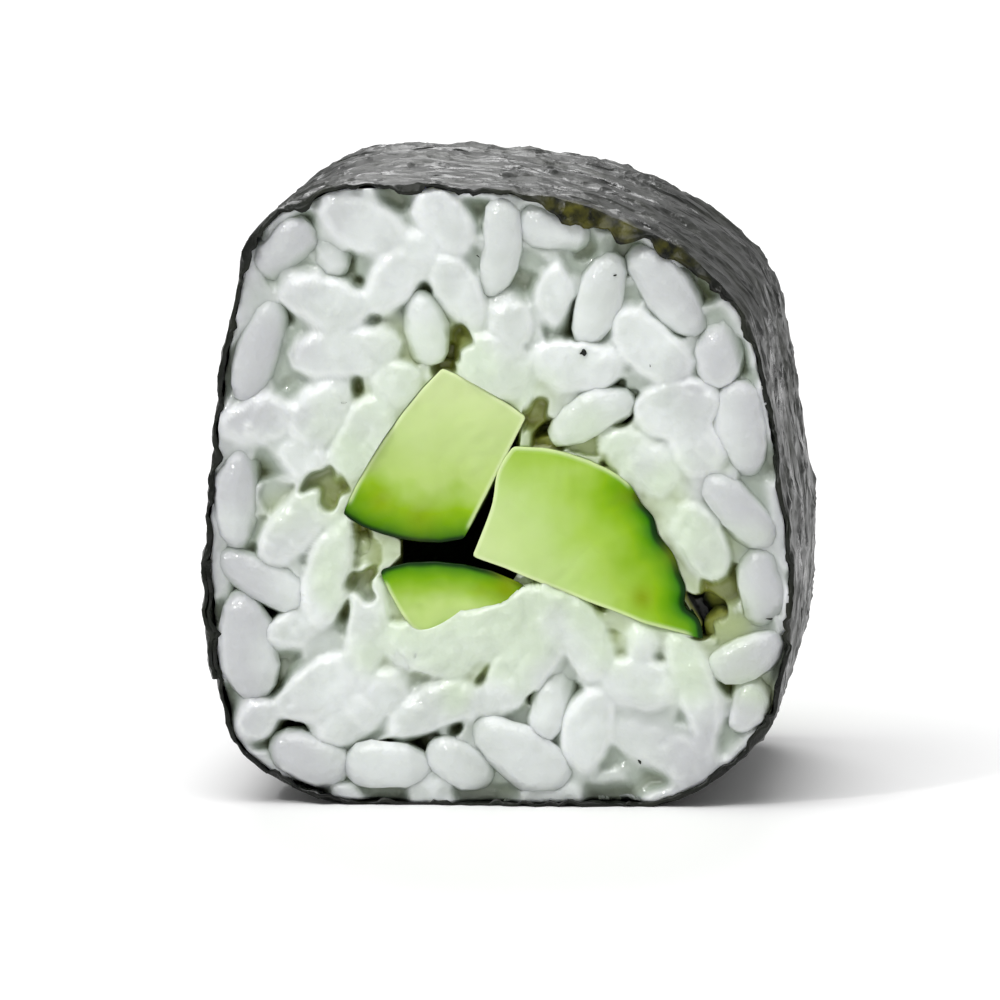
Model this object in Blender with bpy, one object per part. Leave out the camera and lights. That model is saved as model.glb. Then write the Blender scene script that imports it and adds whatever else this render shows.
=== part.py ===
"""One cut piece of a cucumber maki: a nori-wrapped roll of sushi rice with three cucumber sticks.

Metres, +Z up. The roll lies on its side with its axis along Y, so its two cut faces look along -Y (the
front) and +Y (the back). The origin is the centre of its base. Sizes below are in millimetres and are
turned to metres when a mesh is made.
"""

import bpy
import numpy as np

MM = 0.001

# Driving dimensions, in millimetres.
ROLL_WIDTH = 27.2  # of one layer of nori, without the lap
ROLL_HEIGHT = 29.0
ROLL_LENGTH = 25.0  # from one cut to the other, along Y
NORI_THICKNESS = 0.5
NORI_LAP = 5.5  # how far the sheet's free edge runs over its start
SIDE_SHIFT = 0.34  # the lap makes the left side thicker, so this much to the right centres the roll
FIT_GAP = 0.3  # between neighbouring solids
GRAIN_LENGTH = 6.4
GRAIN_WIDTH = 2.5

# The roll's outline as pressed by the mat, counter-clockwise from the base as seen from the front: across
# as a share of half the width, up as a share of the height. The two base points lie a little under the
# base, and what falls below zero is pressed flat.
SECTION_KNOTS = (
    (-0.50, -0.008),
    (0.50, -0.008),
    (0.89, 0.105),
    (1.00, 0.330),
    (0.94, 0.590),
    (0.82, 0.810),
    (0.48, 0.934),
    (-0.15, 1.000),
    (-0.65, 0.984),
    (-0.86, 0.915),
    (-0.93, 0.790),
    (-0.99, 0.590),
    (-1.00, 0.280),
    (-0.90, 0.085),
)
FREE_EDGE_HEIGHT = 0.20  # where the sheet's free edge ends on the left side, as a share of the height
FREE_EDGE_SLOPE = 0.25  # how much of one column the cut of that edge takes up

# The cucumber sticks at the front face: corners across and up in millimetres, how far each side bulges
# (side by side, starting with the one after the first corner), and how far the stick has moved at the back
# face, across and up, because it doesn't lie quite along the roll. Each stick's skin is its most bulged side.
STICKS = {
    "cucumber_top": {
        "corners": ((-2.40, 20.30), (-7.05, 13.40), (-1.45, 12.25), (1.50, 18.05)),
        "bulges": (0.35, 0.50, 0.00, 0.10),
        "drift": (-0.05, -0.40),
    },
    "cucumber_right": {
        "corners": ((1.40, 16.75), (-0.70, 11.55), (9.75, 7.75), (6.95, 14.55)),
        "bulges": (0.00, 0.20, 0.55, 0.45),
        "drift": (0.10, -0.10),
    },
    "cucumber_bottom": {
        "corners": ((-5.35, 11.00), (-3.70, 8.00), (0.90, 8.00), (2.35, 9.70)),
        "bulges": (0.10, 0.15, 0.05, 0.85),
        "drift": (-0.40, 0.15),
    },
}
# The empty gap where the three sticks meet, which no rice reaches.
STICK_GAP = ((-4.60, 13.20), (-4.60, 11.00), (-0.40, 11.00), (-0.40, 13.00))
CHANNEL_CENTRE = (0.40, 13.80)  # a point among the sticks that sees the whole channel wall
CHANNEL_CLEARANCE = 0.5  # added along each ray from there, so that slanted walls keep the fit gap too
CORNER_ROUNDING = 0.25
STICK_RECESS = 0.15  # how far the sticks' cut ends lie behind the cut plane

# How finely the surfaces are divided.
NORI_COLUMNS = 112
NORI_STATIONS = 9
RICE_COLUMNS = 116
RICE_RINGS = 12
CHANNEL_STATIONS = 5
POINTS_PER_SIDE = 6

# Depths of the low relief, in millimetres.
RICE_PROUD = 0.5  # the highest grains stand this far out of the cut plane
RICE_DEEP = 0.8  # and the crevices go this far behind it
NORI_RELIEF = 0.16


def closed_curve(knots, count, per_span=40):
    """Evenly spaced points on a smooth closed curve through the knots: a cubic span between each pair,
    whose end slopes are the mean of the chords either side, weighted by the other chord's length."""
    ahead = np.roll(knots, -1, axis=0) - knots
    length = np.linalg.norm(ahead, axis=1, keepdims=True)
    slope = ahead / length
    before = np.roll(length, 1, axis=0)
    tangent = (slope * before + np.roll(slope, 1, axis=0) * length) / (length + before)
    t = np.linspace(0.0, 1.0, per_span, endpoint=False)[None, :, None]
    start, end = knots[:, None], np.roll(knots, -1, axis=0)[:, None]
    leave, arrive = (tangent * length)[:, None], (np.roll(tangent, -1, axis=0) * length)[:, None]
    curve = (
        start * (2 * t**3 - 3 * t**2 + 1)
        + leave * (t**3 - 2 * t**2 + t)
        + end * (3 * t**2 - 2 * t**3)
        + arrive * (t**3 - t**2)
    ).reshape(-1, 2)
    return spaced(curve, count)


def spaced(curve, count):
    """The closed curve resampled at equal steps along its length."""
    closed = np.vstack([curve, curve[:1]])
    run = np.concatenate([[0.0], np.cumsum(np.linalg.norm(np.diff(closed, axis=0), axis=1))])
    at = np.linspace(0.0, run[-1], count, endpoint=False)
    return np.stack([np.interp(at, run, closed[:, k]) for k in (0, 1)], axis=1)


def outward(curve):
    """Unit normals that point out of a counter-clockwise closed curve."""
    along = np.roll(curve, -1, axis=0) - np.roll(curve, 1, axis=0)
    along /= np.linalg.norm(along, axis=1, keepdims=True)
    return np.stack([along[:, 1], -along[:, 0]], axis=1)


def roll_outline():
    """The outside of the nori's single layer, from the free edge down the left side and round."""
    knots = np.array(SECTION_KNOTS) * (ROLL_WIDTH / 2, ROLL_HEIGHT)
    curve = closed_curve(knots, 720)
    curve[:, 1] = np.maximum(curve[:, 1], 0.0)
    curve[:, 1] *= ROLL_HEIGHT / curve[:, 1].max()
    curve[:, 0] += SIDE_SHIFT
    left_side = np.where(curve[:, 0] < 0, np.abs(curve[:, 1] - FREE_EDGE_HEIGHT * ROLL_HEIGHT), np.inf)
    outline = spaced(np.roll(curve, -int(left_side.argmin()), axis=0), NORI_COLUMNS - 1)
    before_edge = outline[0] + (outline[-1] - outline[0]) * FREE_EDGE_SLOPE
    return np.vstack([outline, before_edge])


def smooth_step(value, low, high):
    """0 below low, 1 above high, and a smooth rise between them."""
    t = np.clip((value - low) / (high - low), 0.0, 1.0)
    return t * t * (3 - 2 * t)


def pressed_grains(points, centres, angles, length, width):
    """Height from 0 to 1 of a crowd of grains pressed against a surface: smooth elliptic domes that stand
    at the centres, each turned by its own angle, and flow into one another where they meet."""
    away = points[:, None, :] - centres[None, :, :]
    along = away[..., 0] * np.cos(angles) + away[..., 1] * np.sin(angles)
    across = away[..., 1] * np.cos(angles) - away[..., 0] * np.sin(angles)
    inside = 1 - (2 * along / length) ** 2 - (2 * across / width) ** 2
    dome = np.clip(inside, 0.0, 1.0) ** 2
    return 1 - (1 - dome).prod(axis=1)


def scattered(rng, low, high, step):
    """Points on a brick pattern of that step between two corners, each shaken off its place."""
    across = np.arange(low[0], high[0], step)
    up = np.arange(low[1], high[1], step)
    grid = np.stack(np.meshgrid(across, up), axis=-1)
    grid[1::2, :, 0] += step / 2
    grid = grid.reshape(-1, 2)
    return grid + rng.uniform(-0.3, 0.3, grid.shape) * step


def ring_grid(name, rows, material):
    """A closed object whose surface is a grid, as on a tyre: each row is a loop of points that runs
    counter-clockwise as seen from the front, the last row joins the first, and rows that lie on the
    outside come in order from the back to the front."""
    rows = np.asarray(rows)
    row_count, columns = rows.shape[:2]
    index = np.arange(row_count * columns).reshape(row_count, columns)
    below, right = np.roll(index, -1, axis=0), np.roll(index, -1, axis=1)
    corner = np.roll(below, -1, axis=1)
    faces = np.stack([index, right, corner, below], axis=-1).reshape(-1, 4)
    return add_object(name, rows.reshape(-1, 3), faces.tolist(), material)


def add_object(name, points_mm, faces, material):
    """A mesh object at the origin from points in millimetres, shaded smooth but for its sharp edges."""
    mesh = bpy.data.meshes.new(name)
    mesh.from_pydata((np.asarray(points_mm) * MM).tolist(), [], faces)
    mesh.validate()
    mesh.shade_smooth()
    mesh.set_sharp_from_angle(angle=0.6)
    mesh.materials.append(material)
    made = bpy.data.objects.new(name, mesh)
    bpy.context.scene.collection.objects.link(made)
    return made


def plain_material(name, colour, roughness, subsurface=0.0):
    """A Principled surface of one colour. None of this food is metallic."""
    made = bpy.data.materials.new(name)
    made.use_nodes = True
    shader = made.node_tree.nodes["Principled BSDF"]
    shader.inputs["Base Color"].default_value = (*colour, 1.0)
    shader.inputs["Roughness"].default_value = roughness
    shader.inputs["Metallic"].default_value = 0.0
    shader.inputs["Subsurface Weight"].default_value = subsurface
    shader.inputs["Subsurface Scale"].default_value = GRAIN_WIDTH * MM
    return made


def station(section, y):
    """The section's points, across and up, set at a place along the roll."""
    y = np.broadcast_to(y, section.shape[:1])
    return np.stack([section[:, 0], y, section[:, 1]], axis=1)


def nori_lift(outline):
    """How far the outside is lifted along the outline: nothing over the single layer, and one thickness
    over the lap, which rises as the sheet climbs its own start and stops short at the free edge."""
    step = np.linalg.norm(np.roll(outline, -1, axis=0) - outline, axis=1)
    left = step.sum() - np.cumsum(step)
    return NORI_THICKNESS * smooth_step(-left, -NORI_LAP - 1.5, -NORI_LAP + 0.5)


def make_nori(outline, material):
    """The seaweed sheet: a tube of one thickness, open at both cuts, with a stepped lap low on the left.
    Its outside swells over the grains behind it, except on the flat base."""
    rng = np.random.default_rng(11)
    normal = outward(outline)
    lift = nori_lift(outline)
    run = np.arange(len(outline)) * ROLL_WIDTH * 4 / len(outline)
    half = ROLL_LENGTH / 2
    centres = scattered(rng, (0.0, -half), (ROLL_WIDTH * 4, half), GRAIN_LENGTH * 0.62)
    angles = rng.uniform(0.0, np.pi, len(centres))
    off_base = smooth_step(outline[:, 1], 0.4, 3.0)
    rows = []
    for y in np.linspace(half, -half, NORI_STATIONS):
        place = np.stack([run, np.full(len(run), y)], axis=1)
        swell = pressed_grains(place, centres, angles, GRAIN_LENGTH * 1.1, GRAIN_WIDTH * 1.4)
        out = lift + NORI_RELIEF * off_base * (swell - 1)
        rows.append(station(outline + normal * out[:, None], y))
    inside = outline - normal * NORI_THICKNESS
    rows.append(station(inside, -half))
    rows.append(station(inside, half))
    return ring_grid("nori", rows, material)


def bulged_side(start, end, bulge):
    """Points from start to just before end along a shallow arc that stands out by the bulge."""
    t = np.linspace(0.0, 1.0, POINTS_PER_SIDE + 1)[1:-1, None]
    start, end = np.array(start), np.array(end)
    chord = end - start
    out = np.array([chord[1], -chord[0]]) / np.linalg.norm(chord)
    return start + chord * t + out * bulge * 4 * t * (1 - t)


def stick_section(stick):
    """A stick's section at the front: four bulged sides, whose corners are cut back to be blunt."""
    corners = stick["corners"]
    points = []
    for k, bulge in enumerate(stick["bulges"]):
        before, here, after = corners[k - 1], corners[k], corners[(k + 1) % len(corners)]
        for other in (before, after):
            step = np.subtract(other, here)
            points.append(here + step / np.linalg.norm(step) * CORNER_ROUNDING)
        points.extend(bulged_side(here, after, bulge))
    return np.array(points)


def drifted(section, stick, y):
    """The section where the stick passes a place along the roll."""
    share = (y + ROLL_LENGTH / 2) / ROLL_LENGTH
    return section + np.array(stick["drift"]) * share


def make_stick(name, stick, material):
    """One cucumber stick: its section carried straight from cut to cut, with flat ends."""
    section = stick_section(stick)
    end = ROLL_LENGTH / 2 - STICK_RECESS
    points = np.vstack([station(drifted(section, stick, y), y) for y in (end, -end)])
    count = len(section)
    near = np.arange(count)
    ahead = np.roll(near, -1)
    faces = np.stack([near, ahead, ahead + count, near + count], axis=1).tolist()
    faces.append(near[::-1].tolist())
    faces.append((near + count).tolist())
    return add_object(name, points, faces, material)


def reach(polygon, centre, angles):
    """How far a ray from the centre goes at each angle before it last leaves the polygon, or 0."""
    start = polygon - np.array(centre)
    edge = np.roll(start, -1, axis=0) - start
    ray = np.stack([np.cos(angles), np.sin(angles)], axis=1)
    cross = ray[:, None, 0] * edge[None, :, 1] - ray[:, None, 1] * edge[None, :, 0]
    cross = np.where(np.abs(cross) < 1e-12, 1e-12, cross)
    far = (start[:, 0] * edge[:, 1] - start[:, 1] * edge[:, 0])[None] / cross
    along = (start[None, :, 0] * ray[:, None, 1] - start[None, :, 1] * ray[:, None, 0]) / cross
    hit = (far > 0) & (along >= 0) & (along <= 1)
    return np.where(hit, far, 0.0).max(axis=1)


def channel(angles, y):
    """The wall of the rice round the sticks at a place along the roll. Each ray goes as far as the
    furthest stick or the gap between them, or its neighbours' if that is further, plus the clearance."""
    far = reach(np.array(STICK_GAP), CHANNEL_CENTRE, angles)
    for stick in STICKS.values():
        section = drifted(stick_section(stick), stick, y)
        far = np.maximum(far, reach(section, CHANNEL_CENTRE, angles))
    far = np.maximum(far, np.maximum(np.roll(far, 1), np.roll(far, -1)))
    return round_centre(far + CHANNEL_CLEARANCE, angles)


def round_centre(radius, angles):
    """Points at those radii and angles round the channel's centre."""
    return np.stack([np.cos(angles), np.sin(angles)], axis=1) * radius[:, None] + CHANNEL_CENTRE


def rice_face(inner, outer, y, side, rng):
    """Rings of points over a cut face, from the channel out to the nori, standing proud or deep as the
    grains do. side is -1 on the front and 1 on the back."""
    shares = np.linspace(0.0, 1.0, RICE_RINGS)
    rings = inner[None] + (outer - inner)[None] * shares[:, None, None]
    low = (-ROLL_WIDTH / 2, 0.0)
    high = (ROLL_WIDTH / 2, ROLL_HEIGHT)
    centres = scattered(rng, low, high, GRAIN_LENGTH * 0.5)
    angles = rng.uniform(0.0, np.pi, len(centres))
    height = pressed_grains(rings.reshape(-1, 2), centres, angles, GRAIN_LENGTH, GRAIN_WIDTH * 1.3)
    height = height / height.max()
    out = RICE_PROUD * height - RICE_DEEP * (1 - height)
    depth = (y + side * out).reshape(rings.shape[:2])
    return [station(ring, row) for ring, row in zip(rings, depth)]


def make_rice(outline, material):
    """The pressed rice: one body between the nori and the channel that holds the sticks, with grains
    standing out of both cut faces."""
    rng = np.random.default_rng(5)
    angles = np.linspace(0.0, 2 * np.pi, RICE_COLUMNS, endpoint=False)
    wall = outline - outward(outline) * (NORI_THICKNESS + FIT_GAP)
    outer = round_centre(reach(wall, CHANNEL_CENTRE, angles), angles)
    half = ROLL_LENGTH / 2
    front = rice_face(channel(angles, -half), outer, -half, -1, rng)
    back = rice_face(channel(angles, half), outer, half, 1, rng)
    inside = [station(channel(angles, y), y) for y in np.linspace(-half, half, CHANNEL_STATIONS)[1:-1]]
    return ring_grid("rice", [*front[::-1], *inside, *back], material)


def clear_scene():
    for old in list(bpy.data.objects):
        bpy.data.objects.remove(old)


def main():
    clear_scene()
    outline = roll_outline()
    make_nori(outline, plain_material("nori", (0.012, 0.018, 0.012), 0.42))
    make_rice(outline, plain_material("rice", (0.72, 0.76, 0.73), 0.38, subsurface=0.3))
    flesh = plain_material("cucumber", (0.42, 0.62, 0.12), 0.35, subsurface=0.2)
    for name, stick in STICKS.items():
        make_stick(name, stick, flesh)


main()
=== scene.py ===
# %% [markdown]
# # One piece of cucumber maki
#
# A thin roll of seaweed and rice with three sticks of cucumber, cut into short pieces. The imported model
# gives the true sizes and places of five solids. This lesson dresses them: the rice becomes a crowd of
# separate grains, the nori a wrinkled sheet with cut edges, and each stick gets flesh and skin.
#
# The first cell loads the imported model. Everything after it is worked out in millimetres, and turned to
# metres only when a mesh is made.

import bpy
import numpy as np
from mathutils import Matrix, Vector


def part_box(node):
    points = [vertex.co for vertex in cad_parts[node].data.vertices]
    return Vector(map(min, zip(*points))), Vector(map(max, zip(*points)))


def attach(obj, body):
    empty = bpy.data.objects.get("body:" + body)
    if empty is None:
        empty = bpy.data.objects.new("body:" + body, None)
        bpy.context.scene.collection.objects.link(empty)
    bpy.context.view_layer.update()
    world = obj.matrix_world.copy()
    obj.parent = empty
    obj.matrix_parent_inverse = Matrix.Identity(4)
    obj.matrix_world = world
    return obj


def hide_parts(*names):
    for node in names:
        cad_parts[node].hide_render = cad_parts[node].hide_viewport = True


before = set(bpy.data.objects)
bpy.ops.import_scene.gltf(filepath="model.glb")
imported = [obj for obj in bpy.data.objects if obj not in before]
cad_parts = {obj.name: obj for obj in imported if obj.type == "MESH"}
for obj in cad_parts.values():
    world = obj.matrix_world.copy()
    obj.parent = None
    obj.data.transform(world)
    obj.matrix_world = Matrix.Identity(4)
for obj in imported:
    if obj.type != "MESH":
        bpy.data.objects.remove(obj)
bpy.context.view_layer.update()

MM = 0.001
CUT_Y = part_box("nori")[1][1] / MM
print("the roll is cut at", round(CUT_Y, 2), "mm either side of its middle")

# %% [markdown]
# ## Reading the sections
#
# The roll is the same shape all along, so its pieces can be drawn as sections: closed curves across the
# roll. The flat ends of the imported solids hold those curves. An edge that belongs to only one triangle of
# a flat end lies on its rim, and walking from edge to edge gives the rim in order.

# %% Rims of the flat ends
def merged(node):
    """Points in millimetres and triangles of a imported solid, with the points that coincide made one."""
    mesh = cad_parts[node].data
    points = np.empty(len(mesh.vertices) * 3, np.float32)
    mesh.vertices.foreach_get("co", points)
    corners = np.empty(len(mesh.polygons) * 3, np.int32)
    mesh.polygons.foreach_get("vertices", corners)
    points, index = np.unique(np.round(points.reshape(-1, 3) / MM, 3), axis=0, return_inverse=True)
    return points, index.reshape(-1)[corners].reshape(-1, 3)


def area(loop):
    """Area inside a closed curve: half the sum of the cross products of neighbouring points."""
    ahead = np.roll(loop, -1, axis=0)
    return 0.5 * (loop[:, 0] * ahead[:, 1] - loop[:, 1] * ahead[:, 0]).sum()


def rims(node, side):
    """The closed curves that bound a node's flat end, widest first, counter-clockwise from the front.
    side is -1 for the front end and 1 for the back."""
    points, triangles = merged(node)
    end = points[:, 1].max() * side
    flat = triangles[(np.abs(points[triangles][..., 1] - end) < 0.02).all(axis=1)]
    edges = {(a, b) for k in range(3) for a, b in zip(flat[:, k].tolist(), flat[:, (k + 1) % 3].tolist())}
    follow = {a: b for a, b in edges if (b, a) not in edges}
    found = []
    while follow:
        start, here = follow.popitem()
        walk = [start]
        while here != start:
            walk.append(here)
            here = follow.pop(here)
        loop = points[walk][:, [0, 2]]
        found.append(loop if area(loop) > 0 else loop[::-1])
    return sorted(found, key=area, reverse=True)


nori_rims = rims("nori", -1)
print("nori rims of", [len(rim) for rim in nori_rims], "points")


# %% Corners as the knife left them
def sharpened(loop, longest=0.5):
    """The closed curve with each short edge between two longer ones replaced by the point where those two
    would meet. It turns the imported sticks' bevelled corners back into knife-cut ones."""
    ahead = np.roll(loop, -1, axis=0)
    step = ahead - loop
    length = np.linalg.norm(step, axis=1)
    points = []
    for k, here in enumerate(loop):
        after = (k + 1) % len(loop)
        if length[k] < longest < min(length[k - 1], length[after]):
            heading = np.stack([step[k - 1], -step[after]], axis=1)
            points.append(here + step[k - 1] * np.linalg.solve(heading, ahead[k] - here)[0])
        elif not (length[k - 1] < longest < min(length[k - 2], length[k])):
            points.append(here)
    return np.array(points)


STICKS = ("cucumber_top", "cucumber_right", "cucumber_bottom")
SIDES = {"front": -1, "back": 1}
stick_rims = {
    side: {name: sharpened(rims(name, sign)[0]) for name in STICKS} for side, sign in SIDES.items()
}
print("stick rims of", [len(rim) for rim in stick_rims["front"].values()], "points")


# %% [markdown]
# ## Tools for curves
#
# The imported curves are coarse. A smooth curve through their points, sampled as finely as each piece
# needs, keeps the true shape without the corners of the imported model.

# %% Smooth closed curves
def closed_curve(knots, count, per_span=12):
    """Evenly spaced points on a smooth closed curve through the knots: a cubic between each pair, whose
    end slopes are the mean of the chords either side, weighted by the other chord's length."""
    ahead = np.roll(knots, -1, axis=0) - knots
    length = np.linalg.norm(ahead, axis=1, keepdims=True)
    slope = ahead / length
    before = np.roll(length, 1, axis=0)
    tangent = (slope * before + np.roll(slope, 1, axis=0) * length) / (length + before)
    t = np.linspace(0.0, 1.0, per_span, endpoint=False)[None, :, None]
    start, end = knots[:, None], np.roll(knots, -1, axis=0)[:, None]
    leave, arrive = (tangent * length)[:, None], (np.roll(tangent, -1, axis=0) * length)[:, None]
    curve = (
        start * (2 * t**3 - 3 * t**2 + 1)
        + leave * (t**3 - 2 * t**2 + t)
        + end * (3 * t**2 - 2 * t**3)
        + arrive * (t**3 - t**2)
    ).reshape(-1, 2)
    return spaced(curve, count)


def run_along(curve):
    """Distance along a closed curve to each of its points, and last of all its whole length."""
    steps = np.linalg.norm(np.roll(curve, -1, axis=0) - curve, axis=1)
    return np.concatenate([[0.0], np.cumsum(steps)])


def at_distance(curve, distance):
    """Points at given distances along a closed curve, measured from its first point, either way round."""
    run = run_along(curve)
    closed = np.vstack([curve, curve[:1]])
    return np.stack([np.interp(np.mod(distance, run[-1]), run, closed[:, k]) for k in (0, 1)], axis=-1)


def spaced(curve, count):
    """The closed curve resampled at equal steps along its length."""
    return at_distance(curve, np.linspace(0.0, run_along(curve)[-1], count, endpoint=False))


def softened(knots, count, rounds=1):
    """Evenly spaced points on the polygon through the knots, with the corners rounded by repeatedly
    mixing each point with its two neighbours. It keeps a cut stick's corners crisp."""
    curve = spaced(knots, count)
    for _ in range(rounds):
        curve = (np.roll(curve, 1, axis=0) + 2 * curve + np.roll(curve, -1, axis=0)) / 4
    return curve


wall = closed_curve(nori_rims[1], 240)
print("the rice fills a section", *np.ptp(wall, axis=0).round(2), "mm wide and high")
print("round it is", run_along(wall)[-1].round(1), "mm")


# %% Directions, steps and ripples
def unit(vectors):
    """The vectors divided by their lengths."""
    return vectors / np.linalg.norm(vectors, axis=-1, keepdims=True)


def outward(curve):
    """Unit normals that point out of a counter-clockwise closed curve."""
    along = unit(np.roll(curve, -1, axis=0) - np.roll(curve, 1, axis=0))
    return np.stack([along[:, 1], -along[:, 0]], axis=1)


def smooth_step(value, low, high):
    """0 below low, 1 above high, and a smooth rise between them."""
    t = np.clip((value - low) / (high - low), 0.0, 1.0)
    return t * t * (3 - 2 * t)


def ripples(places, wavelength, seed, waves=28):
    """Smooth random relief with a spread of about 1: the sum of many cosine waves of nearly one
    wavelength, each running in a random direction from a random phase."""
    rng = np.random.default_rng(seed)
    direction = unit(rng.normal(size=(waves, places.shape[-1])))
    direction *= 2 * np.pi / (wavelength * rng.uniform(0.7, 1.4, (waves, 1)))
    phase = rng.uniform(0.0, 2 * np.pi, waves)
    return np.sqrt(2 / waves) * np.cos(places @ direction.T + phase).sum(axis=-1)


print("3 mm ripples along the wall have a spread of", ripples(wall, 3.0, 0).std().round(2))


# %% [markdown]
# ## How the sticks give way
#
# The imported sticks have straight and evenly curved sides. In the roll they are soft: the right stick leans
# on the top one until the two touch, with a wedge left open below, and the grains dent its skin.

# %% Sections of the sticks
STICK_COLUMNS = 200
LEANING = ((1.40, 16.75), (-0.70, 11.55))  # the right stick's side that leans on the top one
LEAN_MOST_AT, LEAN_LEAST, LEAN_MORE = 15.6, 0.30, 0.42  # the height it leans most at, and how far
DENTED = (8.0, 9.6, 14.6, 15.6)  # the heights between which its skin is dented, and where that fades
SKIN_SIDE = (5.2, 7.6)  # how far across its skin begins, and where the dents are full
DENT, DENT_WAVE = 0.42, 0.13  # how far the grains push it in, and how much that varies


def to_line(places, line):
    """Distance from each place to a line of joined points: the least over its short straight pieces."""
    start, step = line[:-1], np.diff(line, axis=0)
    away = places[:, None] - start[None]
    share = np.clip((away * step).sum(-1) / (step * step).sum(-1), 0.0, 1.0)
    return np.linalg.norm(away - share[..., None] * step, axis=-1).min(axis=1)


def pressed(name, section):
    """The section after pressing. Only the right stick's changes: its left side moves over, most where it
    touches the top stick, and its skin is pushed in and made a little wavy."""
    if name != "cucumber_right":
        return section
    up = section[:, 1]
    near = 1 - smooth_step(to_line(section, np.array(LEANING)), 0.1, 1.6)
    leaning = near * (LEAN_LEAST + LEAN_MORE * np.exp(-(((up - LEAN_MOST_AT) / 1.2) ** 2)))
    bottom, low, high, top = DENTED
    on_skin = smooth_step(up, bottom, low) * (1 - smooth_step(up, high, top))
    on_skin *= smooth_step(section[:, 0], *SKIN_SIDE)
    dented = on_skin * (DENT + DENT_WAVE * ripples(section, 1.8, 91))
    return section - np.stack([leaning + dented, 0.3 * dented], axis=1)


stick_sections = {
    side: {name: pressed(name, softened(rim, STICK_COLUMNS)) for name, rim in stick_rims[side].items()}
    for side in SIDES
}
print("a stick's section has", len(stick_sections["front"]["cucumber_right"]), "points")


# %% [markdown]
# ## Meshes from grids
#
# A surface that is a function of two parameters is a grid of points. Where both parameters run round and
# meet themselves, as on a tyre, the grid closes with no edge left over, and every face is a quad.

# %% Make a mesh piece
def mesh_piece(name, points, faces, attributes=None):
    """A smooth-shaded mesh object at the origin, from points in millimetres. Each attribute is one number
    for each point, which a material can read by name."""
    mesh = bpy.data.meshes.new(name)
    mesh.from_pydata((np.asarray(points) * MM).tolist(), [], faces)
    for key, values in (attributes or {}).items():
        layer = mesh.attributes.new(key, "FLOAT", "POINT")
        layer.data.foreach_set("value", np.asarray(values, np.float32).ravel())
    mesh.shade_smooth()
    made = bpy.data.objects.new(name, mesh)
    bpy.context.scene.collection.objects.link(made)
    print(name, "has", len(points), "points and", len(faces), "faces")
    return made


def ring_faces(rows, columns):
    """Quads of a grid that closes both ways. Rows run counter-clockwise as seen from the front, and those
    on the outside come in order from back to front."""
    index = np.arange(rows * columns).reshape(rows, columns)
    below, right = np.roll(index, -1, axis=0), np.roll(index, -1, axis=1)
    corner = np.roll(below, -1, axis=1)
    return np.stack([index, right, corner, below], axis=-1).reshape(-1, 4).tolist()


def tube_faces(rows, columns, first=0):
    """Quads of a grid that closes along its rows only, as a pipe does. first is its first point's number."""
    index = first + np.arange(rows * columns).reshape(rows, columns)
    right = np.roll(index, -1, axis=1)
    return np.stack([index[:-1], right[:-1], right[1:], index[1:]], axis=-1).reshape(-1, 4)


def placed(section, y):
    """Section points, across and up, set at a place along the roll."""
    y = np.broadcast_to(y, section.shape[:-1])
    return np.stack([section[..., 0], y, section[..., 1]], axis=-1)


print("a tyre of 3 rows and 4 columns has", len(ring_faces(3, 4)), "faces, a pipe", len(tube_faces(3, 4)))

# %% [markdown]
# ## Packing the rice
#
# Cooked short-grain rice is a plump bean about 5 to 6 mm long and 2.4 mm wide. In a roll the grains are
# squeezed together until they touch on all sides. A crowd that only looks scattered would cut through
# itself or leave holes, so the grains are packed the way the hand does it: they start on a loose pattern
# and push each other apart, off the nori, off the cucumber and off the knife's plane.
#
# Each grain is treated as a straight line with a radius, which makes the distance between two grains the
# distance between two short lines. Depth is measured inwards from the cut, so both faces share the code.

# %% Grain sizes
GRAIN_RADIUS = (1.04, 1.28)
GRAIN_LENGTH = (3.4, 5.6)
LAYER_DEPTHS = (0.8, 2.7, 4.6)  # of the seeds' layers behind the cut
SEED_STEP = (3.2, 2.6)  # between seeds, across and up
SHAKE = 0.8  # how far each seed is moved off its place
DEEPEST = 6.4  # no grain lies deeper
SQUEEZE = 0.86  # how close two grains come, as a share of their radii added together
GRAIN_WALL = 0.12  # at the cut the grains press this far into the space behind the sheet
UNDER_SHEET = 0.35  # and further in the sheet squeezes them back by this much
# The empty gap where the three sticks meet, which no rice reaches.
STICK_GAP = np.array(((-4.3, 13.2), (-4.3, 11.0), (-0.4, 11.0), (-0.4, 13.0)))
print("grains are", *GRAIN_LENGTH, "mm long at the least and most, in", len(LAYER_DEPTHS), "layers")


# %% Distances to walls
def beyond(polygon, places):
    """How far each place lies outside a convex counter-clockwise polygon, less than 0 inside it, and the
    unit normal of the side it is measured from: the largest of its distances over the sides."""
    ahead = np.roll(polygon, -1, axis=0) - polygon
    normal = unit(np.stack([ahead[:, 1], -ahead[:, 0]], axis=1))
    distance = places @ normal.T - (polygon * normal).sum(axis=1)
    side = distance.argmax(axis=-1)
    return np.take_along_axis(distance, side[..., None], axis=-1)[..., 0], normal[side]


middle_off = beyond(wall, wall.mean(axis=0)[None])[0][0]
print("the middle of the section lies", -middle_off.round(1), "mm inside the wall")


# %% Seeds of the crowd
SEED_OFF_WALL, SEED_OFF_STICKS = 0.6, 0.3  # a seed closer than this to either is dropped


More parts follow.
